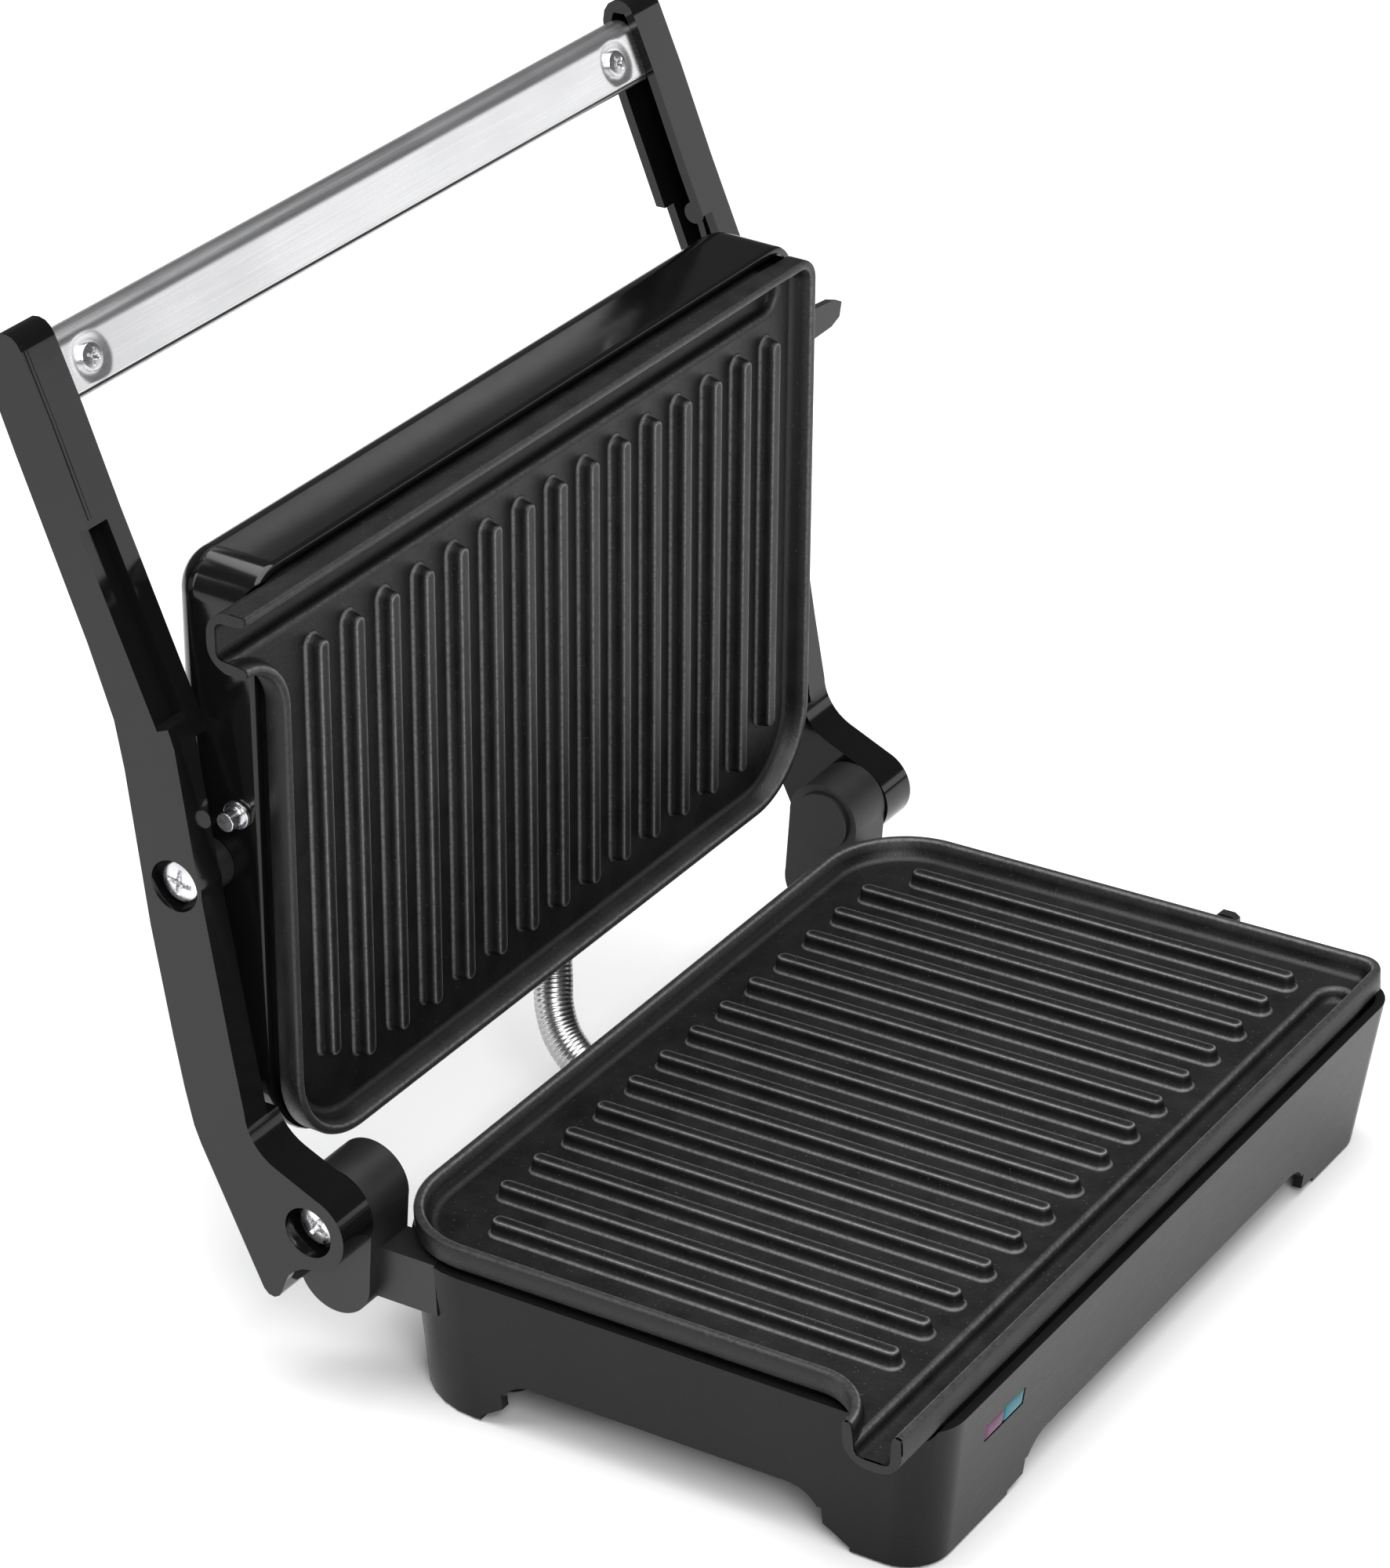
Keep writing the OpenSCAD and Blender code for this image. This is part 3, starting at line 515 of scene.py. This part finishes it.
def along(path, side, front):
    """The points at one place of the section, all along the path.

    The skirt under the rim rises out of the way where the spout leaves the plate.
    """
    ring = []
    for p, d, share in path:
        t = side[0] + (front[0] - side[0]) * share
        z = side[1] + (front[1] - side[1]) * share
        if z < RIM_LOW:
            full = 0.03 + 0.97 * smooth_step((p[0] - SKIRT_END_X) / 3.0)
            z = RIM_LOW + (z - RIM_LOW) * full
        ring.append((p[0] + d[0] * t, p[1] + d[1] * t, z))
    return ring


def channel_ring(t, z):
    """The channel's outline, inset by t, from its mouth round its closed end and back."""
    mouth_x, cx = SPOUT_X + 0.1, CHANNEL_END - CHANNEL_R
    ring = [(mouth_x, CHANNEL_BACK - t, z), (-CHANNEL_END, CHANNEL_BACK - t, z)]
    for (x, y), _ in arc(cx, CHANNEL_BACK - CHANNEL_R, CHANNEL_R - t, 90, 0, 8):
        ring.append((x, y, z))
    for (x, y), _ in arc(cx, CHANNEL_FRONT + CHANNEL_R, CHANNEL_R - t, 0, -90, 8):
        ring.append((x, y, z))
    ring += [(-CHANNEL_END, CHANNEL_FRONT + t, z), (mouth_x, CHANNEL_FRONT + t, z)]
    return ring


def rib_shell(x, length):
    """A raised rib: filleted foot, sloping flanks, a flat crown with crisp rounded edges."""
    section = [(3.5, -2.2), (3.3, -1.97), (2.75, -1.75), (2.4, -1.2), (2.15, 0.2), (1.98, 1.2),
               (1.8, 1.65), (1.5, 1.9), (1.1, 2.0), (0.45, 2.0)]
    rings = []
    for half, z in section:
        ring = []
        for (px, py), _ in arc(0, RIB_END_R, half, 180, 360, 12):
            ring.append((x + px, py, z))
        for (px, py), _ in arc(0, length - RIB_END_R, half, 0, 180, 12):
            ring.append((x + px, py, z))
        rings.append(ring)
    # Painted highlight lines at the crown's rounded edge and at the foot's fillet
    return with_painted_highlight(loft(rings), (0, 0, 0.8, 0.1, 0, 0, 0.15, 1, 0.15, 0))


def trough_shell():
    """The spout's U-shaped body under the rim, with its end face."""
    outer = [(P_FRONT + SPOUT_W - 0.2, -2.7), (P_FRONT + SPOUT_W, -3.0)]
    outer += [p for p, _ in arc(P_FRONT + SPOUT_W - SPOUT_R, SPOUT_MID_Z, SPOUT_R, -20, -90, 10)]
    outer += [p for p, _ in arc(P_FRONT + SPOUT_R, SPOUT_MID_Z, SPOUT_R, -90, -160, 10)]
    outer += [(P_FRONT, -3.0), (P_FRONT + 0.2, -2.7)]
    inner = [(CHANNEL_FRONT - 0.2, -2.7)]
    inner += [(CHANNEL_FRONT - 0.15 + t, z - 0.15) for t, z in CHANNEL[3:]]
    inner += [(CHANNEL_BACK + 0.15 - t, z - 0.15) for t, z in reversed(CHANNEL[3:])]
    inner += [(CHANNEL_BACK + 0.2, -2.7)]
    ring = outer + inner
    return loft([[(x, y, z) for y, z in ring] for x in (SPOUT_X, SPOUT_X + 0.5, -103)])


def spout_face():
    """The U-shaped end face of the spout: rim, channel wall and rounded bottom."""
    inside = [(0.7, 3.0), (1.5, 3.0), (2.0, 2.8), (2.35, 2.3), (2.65, 0.6), (2.75, -0.6),
              (2.85, -1.8), (2.9, -3.2), (3.05, -4.2), (3.5, -5.0), (4.4, -5.5), (5.5, -5.6)]
    outside = [(0.2, 2.75), (0.0, 2.2), (0.0, SPOUT_MID_Z)]
    outside += [(SPOUT_R * (1 - math.cos(a)), SPOUT_MID_Z - SPOUT_R * math.sin(a))
                for a in np.radians(np.arange(10, 91, 10))]
    front = [(P_FRONT + t, z) for t, z in inside]
    back = [(P_FRONT + SPOUT_W - t, z) for t, z in reversed(inside)]
    low_back = [(P_FRONT + SPOUT_W - t, z) for t, z in outside]
    low_front = [(P_FRONT + t, z) for t, z in reversed(outside)]
    ring = front + back + low_back + low_front
    return loft([[(x, y, z) for y, z in ring] for x in (SPOUT_X - 0.02, SPOUT_X + 0.7)])


# Painted highlight per point of the rim's section, strongest on its inner top edge, and per point
# of the channel lip's section
RIM_HIGHLIGHT = (0, 0, 0, 0.2, 0.15, 0.2, 0.8, 0.15, 0, 0, 0.1, 0, 0, 0, 0, 0, 0)
LIP_HIGHLIGHT = (0, 0, 0, 0, 0.2, 0.6, 0.15, 0, 0, 0, 0)
LIP = 1.27              # how far the cooking floor stands back from the channel
FLOOR_INSET_SIDE, FLOOR_INSET_FRONT = 4.6, 2.3


def grill_plate(name, place):
    """One cast plate: rim and skirt, grease channel, spout, cooking floor and 15 ribs."""
    path = rim_path()
    parts = []
    # Rim and skirt: one closed band, swept along the outline
    rings = [[] for _ in path]
    for side, front in zip(RIM_SIDE, RIM_FRONT):
        for k, p in enumerate(along(path, side, front)):
            rings[k].append(p)
    parts.append(with_painted_highlight(loft(rings), RIM_HIGHLIGHT, around=len(RIM_SIDE)))
    # Channel liner, from its underside up over its lip and down to its bottom
    rings = [channel_ring(t, z) for t, z in [(0.9, -6.1), (-0.3, -4.5), (-1.3, -2.5)] + CHANNEL]
    points, faces = loft(rings, around=False)
    n = len(rings[0])
    mouth = [k * n for k in range(len(rings))]
    faces.append(tuple(mouth + [k + n - 1 for k in reversed(mouth)]))
    parts.append(with_painted_highlight((points, faces), LIP_HIGHLIGHT))
    parts.append(trough_shell())
    parts.append(spout_face())
    # Cooking floor with its cut-out for the channel
    outline = [(-119, CHANNEL_BACK + LIP)]
    outline += [p for p, _ in arc(CHANNEL_END - CHANNEL_R, CHANNEL_BACK - CHANNEL_R,
                                  CHANNEL_R + LIP, 90, 0, 10)]
    outline.append((CHANNEL_END + LIP, P_FRONT + 3.4))
    for p, d, share in path[9:]:
        t = FLOOR_INSET_SIDE + (FLOOR_INSET_FRONT - FLOOR_INSET_SIDE) * share
        x, y = p[0] + d[0] * t, p[1] + d[1] * t
        if y < CHANNEL_BACK + 1.3 and x < 0:
            break
        outline.append((x, y))
    parts.append(slab(outline, -5.0, FLOOR))
    for i in range(-OUTER_RIB, OUTER_RIB + 1):
        shorter = OUTER_RIB_SHORTER if abs(i) == OUTER_RIB else 0
        parts.append(rib_shell(i * RIB_PITCH, RIB_LENGTH - shorter))
    return make_piece(name, parts, place, crease=50)


dress(grill_plate("lower_grill", IN_BASE), "nonstick", "base", ["lower_plate"])
dress(grill_plate("upper_grill", IN_HEAD), "nonstick", "upper_head", ["upper_plate"])

# ---------------------------------------------------------------- upper housing


def round_plan(x0, x1, y0, y1, r_front, r_rear, inset, n=12):
    """Rounded rectangle as a ring of points, moved inwards by inset."""
    out = []
    for cx, cy, r, a in ((x1 - r_front, y0 + r_front, r_front, -90),
                         (x1 - r_rear, y1 - r_rear, r_rear, 0),
                         (x0 + r_rear, y1 - r_rear, r_rear, 90),
                         (x0 + r_front, y0 + r_front, r_front, 180)):
        keep = max(r - inset, 0.3)
        move = min(inset, r - 0.3) - inset
        sx = 1 if a in (-90, 0) else -1
        sy = -1 if a in (-90, 180) else 1
        for p, d in arc(cx + sx * move, cy + sy * move, keep, a, a + 90, n):
            out.append(p)
    return out


def upper_shell():
    """The upper housing's outside, as rings of its section from the plate's gap to its back."""
    section = [(2.5, -26.0), (2.5, -6.0), (2.3, -5.3), (1.9, -5.0), (0.9, -5.0), (0.35, -5.2),
               (0.05, -5.7), (0.0, -6.4), (0.0, -21.5)]
    section += [(7.5 * (1 - math.cos(a)), -21.5 - 7.5 * math.sin(a))
                for a in np.radians(np.arange(10, 91, 10))]
    section += [(14.0, -29.1), (30.0, -29.3), (55.0, -29.4)]
    rings = []
    for t, z in section:
        rings.append([(x, y, z) for x, y in round_plan(-116, 116, -21, 139, 10, 28, t)])
    return make_piece("upper_shell", [loft(rings)], IN_HEAD)


def trough_cutter():
    """A U-shaped block round the upper plate's spout, 0.6 mm larger than it."""
    grow = 0.6
    r, low_z = SPOUT_R + grow, SPOUT_MID_Z - SPOUT_R - grow
    lo, hi = P_FRONT - grow, P_FRONT + SPOUT_W + grow
    ring = [(hi, 12.0)]
    ring += [p for p, _ in arc(hi - r, low_z + r, r, 0, -90, 12)]
    ring += [p for p, _ in arc(lo + r, low_z + r, r, -90, -180, 12)]
    ring += [(lo, 12.0)]
    rings = [[(x, y, z) for y, z in ring] for x in (-140, -103)]
    return make_piece("cutter", [loft(rings)], IN_HEAD)


dress(carve(upper_shell(), trough_cutter()), "gloss_black", "upper_head", ["upper_housing"])

# ---------------------------------------------------------------- handle

SLEEVE_HALF = 118.4     # half the sleeve's length
GRIP_SCREW_X, GRIP_SCREW_Z = 108.0, 7.65


def handle_ring(t):
    """The sleeve's section, inset by t, as (y, z) points."""
    d, h, r, top = 9.5, 17.0, 1.8, 4.0
    out = []
    for cy, cz, rad, a in ((r, r, r, 180), (d - r, r, r, 270), (d - top, h - top, top, 0),
                           (top, h - top, top, 90)):
        out += [p for p, _ in arc(cy, cz, rad - t, a, a + 90, 8)]
    # Extra points down the front face, where the screws' dimples are
    for k in range(1, 22):
        out.append((t, h - top - k * (h - top - r) / 22))
    return out


def handle_sleeve():
    """The folded steel sleeve, 1 mm thick, with a dimple round each screw and a hem below."""
    half = SLEEVE_HALF
    xs = {-half, half}
    for s in (-1, 1):
        for k in range(-18, 19):
            xs.add(round(s * GRIP_SCREW_X + k * 0.55, 3))
    xs |= {round(x, 3) for x in np.linspace(-98, 98, 30)}
    xs = sorted(x for x in xs if abs(x) <= half)
    outer = handle_ring(0.0)
    inner = handle_ring(1.0)
    rings = []
    for x in xs:
        ring = []
        for y, z in outer:
            sink = 0.0
            rho = math.hypot(abs(x) - GRIP_SCREW_X, z - GRIP_SCREW_Z)
            if y < 1.0:
                sink = 0.5 * (1 - smooth_step((rho - 3.7) / 3.0))
            # Turned-in hem along the bottom
            if y < 4 and 0.9 < z < 1.7:
                sink += 0.12
            ring.append((x, y + sink, z))
        rings.append(ring)
    rings += [[(x, y, z) for y, z in inner] for x in (half, 98, -98, -half)]
    return make_piece("handle_sleeve_skin", [loft(rings, loop=True)], IN_HANDLE, crease=30)


dress(handle_sleeve(), "handle_steel", "lid_frame", ["handle_sleeve"])
# Dark gap where the sleeve's folded edge meets its front
seam_rings = [[(x, 0.3, 0.85), (x, 0.16, 1.0), (x, 0.02, 1.45), (x, 0.3, 1.55), (x, 0.9, 1.3)]
              for x in (-118.2, 118.2)]
dress(make_piece("handle_seam", [loft(seam_rings)], IN_HANDLE), "matt_plastic", "lid_frame")

# ---------------------------------------------------------------- screws


def screw_shell(r, h, shank_r, shank_l, turn):
    """Cross-head screw facing +z: domed head with a tapered cross recess, and its shank."""
    angles = circle(96)
    arm, slot = 0.62 * r, 0.105 * r     # the cross recess: its reach and half its width
    section = [(-shank_l, shank_r), (-shank_l + 0.4, shank_r), (-0.01, shank_r),
               (0.0, r - 0.15), (0.15, r), (h * 0.45, r), (h * 0.62, r * 0.985)]
    rings = [[(rho * math.cos(a), rho * math.sin(a), z) for a in angles] for z, rho in section]
    for rho in reversed(np.linspace(0.05, 0.94, 22) * r):
        ring = []
        for a in angles:
            x, y = rho * math.cos(a), rho * math.sin(a)
            u = abs(x * math.cos(turn) + y * math.sin(turn))
            v = abs(-x * math.sin(turn) + y * math.cos(turn))
            top = h * (1 - 0.34 * (rho / r) ** 2)
            deep = 0.0
            for p, q in ((u, v), (v, u)):
                inside = smooth_step((slot * (1.25 - 0.45 * p / arm) - q) / 0.12 + 0.5)
                reach = smooth_step((arm - p) / 0.35 + 0.3)
                deep = max(deep, inside * reach * (1 - 0.55 * p / arm))
            core = 1 - smooth_step((rho - slot * 1.2) / (slot * 1.2))
            deep = max(deep, core)
            ring.append((x, y, top - deep * h * 0.62))
        rings.append(ring)
    return loft(rings)


def pin_place(side, x, y, z):
    """Screw frame with its head facing outwards along x on one side."""
    turn = Matrix.Rotation(math.radians(90 * side), 4, "Y")
    return Matrix.Translation((side * x, y, z)) @ turn


def grip_place(side):
    """Screw frame on the front of the handle, near one end."""
    return (IN_HANDLE @ Matrix.Translation((side * GRIP_SCREW_X, 0.53, GRIP_SCREW_Z))
            @ Matrix.Rotation(math.radians(90), 4, "X"))


def screw_pair(name, shells, places, node):
    """Two screws as one piece on the lid frame, in place of a CAD node."""
    parts = [([tuple(place @ Vector(p)) for p in points], faces)
             for (points, faces), place in zip(shells, places)]
    dress(make_piece(name, parts, crease=40), "screw_steel", "lid_frame", [node])


SIDES = (-1, 1)
HINGE_HEAD_X, PIVOT_HEAD_X = 124.5, 126.5    # where the undersides of the heads lie
screw_pair("hinge_screws", [screw_shell(5.6, 2.6, 3.5, 18.4, 0.35 + s) for s in SIDES],
           [pin_place(s, HINGE_HEAD_X, HINGE_Y, HINGE_Z) for s in SIDES], "hinge_pins")
screw_pair("pivot_screws", [screw_shell(5.4, 2.4, 3.0, 18.4, 0.8 + s) for s in SIDES],
           [pin_place(s, PIVOT_HEAD_X, PIVOT_Y, PIVOT_Z) for s in SIDES], "pivot_pins")
screw_pair("grip_screws", [screw_shell(3.4, 1.5, 1.4, 6.0, 0.5 * s) for s in SIDES],
           [grip_place(s) for s in SIDES], "handle_screws")

# ---------------------------------------------------------------- conduit

# From the head's gland to the base's gland
ROUTE = [(16, 116.2, 54.8), (15.9, 116.3, 49.5), (13, 114.2, 43), (9, 111.5, 36.5),
         (6.5, 107.5, 30), (5, 101.5, 25), (4.3, 95, 21.2), (4, 89, 20.1), (4, 84.4, 20)]
CONDUIT_R, RIDGE, RIDGE_PITCH = 5.2, 0.16, 1.3
RING_STEP, FINE_STEPS = 0.22, 900


def route_point(s):
    """A point on the smooth curve through the route's points, at their running number s."""
    i = min(int(s), len(ROUTE) - 2)
    t = s - i
    a, b, c, d = (np.array(ROUTE[min(max(k, 0), len(ROUTE) - 1)], float)
                  for k in (i - 1, i, i + 1, i + 2))
    return 0.5 * (2 * b + (c - a) * t + (2 * a - 5 * b + 4 * c - d) * t * t
                  + (3 * b - a - 3 * c + d) * t ** 3)


def conduit(name, s0, s1):
    """Wound strip conduit between two places on its route: a fine helical ridge round a tube."""
    share = np.linspace(0, len(ROUTE) - 1, FINE_STEPS)
    fine = [route_point(s) for s in share]
    run = [0.0]
    for p, q in zip(fine, fine[1:]):
        run.append(run[-1] + float(np.linalg.norm(q - p)))
    length0, length1 = np.interp([s0, s1], share, run)
    count = int((length1 - length0) / RING_STEP)
    sides = 32
    rings = []
    for length in np.linspace(length0, length1, count):
        s = float(np.interp(length, run, share))
        p = route_point(s)
        ahead = route_point(min(s + 0.02, len(ROUTE) - 1)) - route_point(max(s - 0.02, 0))
        ahead /= np.linalg.norm(ahead)
        u = np.cross((1.0, 0, 0), ahead)
        u /= np.linalg.norm(u)
        w = np.cross(ahead, u)
        ring = []
        for j in range(sides):
            a = 2 * math.pi * j / sides
            phase = (length / RIDGE_PITCH - j / sides) % 1.0
            r = CONDUIT_R - RIDGE * abs(2 * phase - 1) ** 3
            ring.append(tuple(p + r * (math.cos(a) * u + math.sin(a) * w)))
        rings.append(ring)
    return make_piece(name, [loft(rings)], crease=60)


# Two runs meet at JOIN, overlapping a little there; neither rides on a moving body
JOIN, OVERLAP = 3.3, 0.03
upper_run = dress(conduit("conduit_upper", 0.0, JOIN + OVERLAP), "conduit_steel")
lower_run = dress(conduit("conduit_lower", JOIN - OVERLAP, 8.0), "conduit_steel")
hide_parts("wire_conduit")
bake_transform(upper_run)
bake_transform(lower_run)

# ---------------------------------------------------------------- indicator windows

# The base's front wall: its top edge, how far its foot is set back from that, its height
WALL_TOP_Y, WALL_LEAN, WALL_H = -79, 7, 42.5


def lens(name, x0, x1, node, slot):
    """Window set flush in the leaning front wall, with rounded edges and a shallow crown."""
    gap, z0, z1 = 0.22, 28.0, 33.0
    most = 0.45     # past this inset, a ring shrinks towards the middle instead
    rings = []
    for inset, back in ((0.0, 6.0), (0.0, 0.35), (0.12, 0.12), (0.4, 0.0), (1.4, -0.12)):
        ring = []
        for x, z in round_plan(x0 + gap, x1 - gap, z0 + gap, z1 - gap, 0.5, 0.5,
                               min(inset, most), 4):
            if inset > most:
                cx, cz = (x0 + x1) / 2, (z0 + z1) / 2
                x, z = cx + (x - cx) * 0.7, cz + (z - cz) * 0.6
            wall = WALL_TOP_Y + WALL_LEAN * (WALL_H - z) / WALL_H
            ring.append((x, wall + 0.05 + back, z))
        rings.append(ring)
    dress(make_piece(name, [loft(rings)]), slot, "base", [node])


lens("power_window", -93, -84, "power_lens", "lens_purple")
lens("ready_window", -84, -75, "ready_lens", "lens_teal")

# ---------------------------------------------------------------- rounded copies of CAD solids

for node, body, slot, width in (
        ("base_housing", "base", "base_shell", 0.45),
        ("left_arm", "lid_frame", "gloss_black", 0.6),
        ("right_arm", "lid_frame", "gloss_black", 0.6),
        ("hinge_post_left", "base", "matt_plastic", 0.6),
        ("hinge_post_right", "base", "matt_plastic", 0.6),
        ("latch_lever", "latch", "matt_plastic", 0.3),
        ("latch_catch", "base", "matt_plastic", 0.3),
        ("rubber_feet", "base", "rubber", 0.4),
        ("bottom_cover", "base", "matt_plastic", 0.3),
        ("mains_inlet", "base", "matt_plastic", 0.4),
        ("base_conduit_gland", "base", "matt_plastic", 0.4),
        ("head_conduit_gland", "upper_head", "matt_plastic", 0.3),
        ("stop_studs", "upper_head", "screw_steel", 0.3),
        ("pivot_bushes", "upper_head", "matt_plastic", 0.2)):
    dress(bevelled(node, width), slot, body, [node])

# CAD solids that stay as they are, with better materials
for node, slot in (("cover_screws", "screw_steel"), ("lower_plate_screws", "screw_steel"),
                   ("upper_plate_screws", "screw_steel"), ("post_screws", "screw_steel"),
                   ("lower_element", "element_steel"), ("upper_element", "element_steel"),
                   ("lower_reflector", "reflector"), ("upper_reflector", "reflector"),
                   ("thermostat", "ceramic_part"), ("terminal_block", "ceramic_part"),
                   ("thermal_fuse", "ceramic_part"), ("lamp_board", "board"),
                   ("hinge_bushes", "brass"), ("handle_core", "matt_plastic")):
    NODES[node].data.materials.clear()
    NODES[node].data.materials.append(LOOKS[slot])

# Fine double bead down the left arm's front edge, from the top to the spout's recess
EDGE = [(63.2, 215.4), (62.2, 213.8), (60.5, 209.5), (56, 198), (51.8, 186.3), (47.9, 175.3)]


def bead(x, r):
    """A fine raised line along the arm's edge."""
    rings = []
    for dy, dz in EDGE:
        y, z = HINGE_Y + dy + 0.18, HINGE_Z + dz
        rings.append([(x + r * math.cos(a), y + r * math.sin(a) * 0.9, z) for a in circle(10)])
    return loft(rings)


dress(make_piece("arm_beads", [bead(-129.6, 0.32), bead(-128.5, 0.26)], crease=60),
      "gloss_black", "lid_frame")

# ---------------------------------------------------------------- stage

FLOOR_HALF_M = 9.0
AIM = (0, 0.03, 0.12)       # where the lights point, in metres


def floor_look():
    """Plain pale floor, with a hardly visible unevenness."""
    k = Look("floor", (0.88, 0.88, 0.88), 0.6, specular=0.2)
    soft = k.noise(3, 2)
    hue = k.blend(k.ranged(soft, 0.3, 0.7, 0.0, 1.0), (0.87, 0.87, 0.87), (0.89, 0.89, 0.89))
    return k.use(hue)


def add_floor():
    """The floor that the press stands on."""
    mesh = bpy.data.meshes.new("floor")
    h = FLOOR_HALF_M
    mesh.from_pydata([(-h, -h, 0), (h, -h, 0), (h, h, 0), (-h, h, 0)], [], [(0, 1, 2, 3)])
    floor = bpy.data.objects.new("floor", mesh)
    bpy.context.scene.collection.objects.link(floor)
    floor.data.materials.append(floor_look())


def add_light(name, at, aim, size, power):
    """A rectangular soft light; metres and watts."""
    data = bpy.data.lights.new(name, "AREA")
    data.shape = "RECTANGLE"
    data.size, data.size_y = size
    data.energy = power
    light = bpy.data.objects.new(name, data)
    way = Vector(aim) - Vector(at)
    turn = way.to_track_quat("-Z", "Y").to_matrix().to_4x4()
    light.matrix_world = Matrix.Translation(at) @ turn
    bpy.context.scene.collection.objects.link(light)


def add_world():
    """Faint even light from all round."""
    world = bpy.data.worlds.new("studio")
    world.use_nodes = True
    background = world.node_tree.nodes["Background"]
    background.inputs["Color"].default_value = (0.92, 0.93, 0.95, 1)
    background.inputs["Strength"].default_value = 0.13
    bpy.context.scene.world = world


add_floor()
add_world()
add_light("top", (-0.1, 0.0, 2.8), AIM, (3.4, 3.0), 150)
add_light("key", (-1.6, -1.4, 1.7), AIM, (1.0, 1.0), 42)
add_light("side", (-1.5, 1.6, 0.8), AIM, (0.5, 1.2), 7)
add_light("handle", (1.9, -1.5, 0.45), (0, 0.15, 0.26), (1.0, 0.5), 2.5)

bpy.context.scene.view_settings.view_transform = "Standard"
bpy.context.scene.view_settings.look = "None"
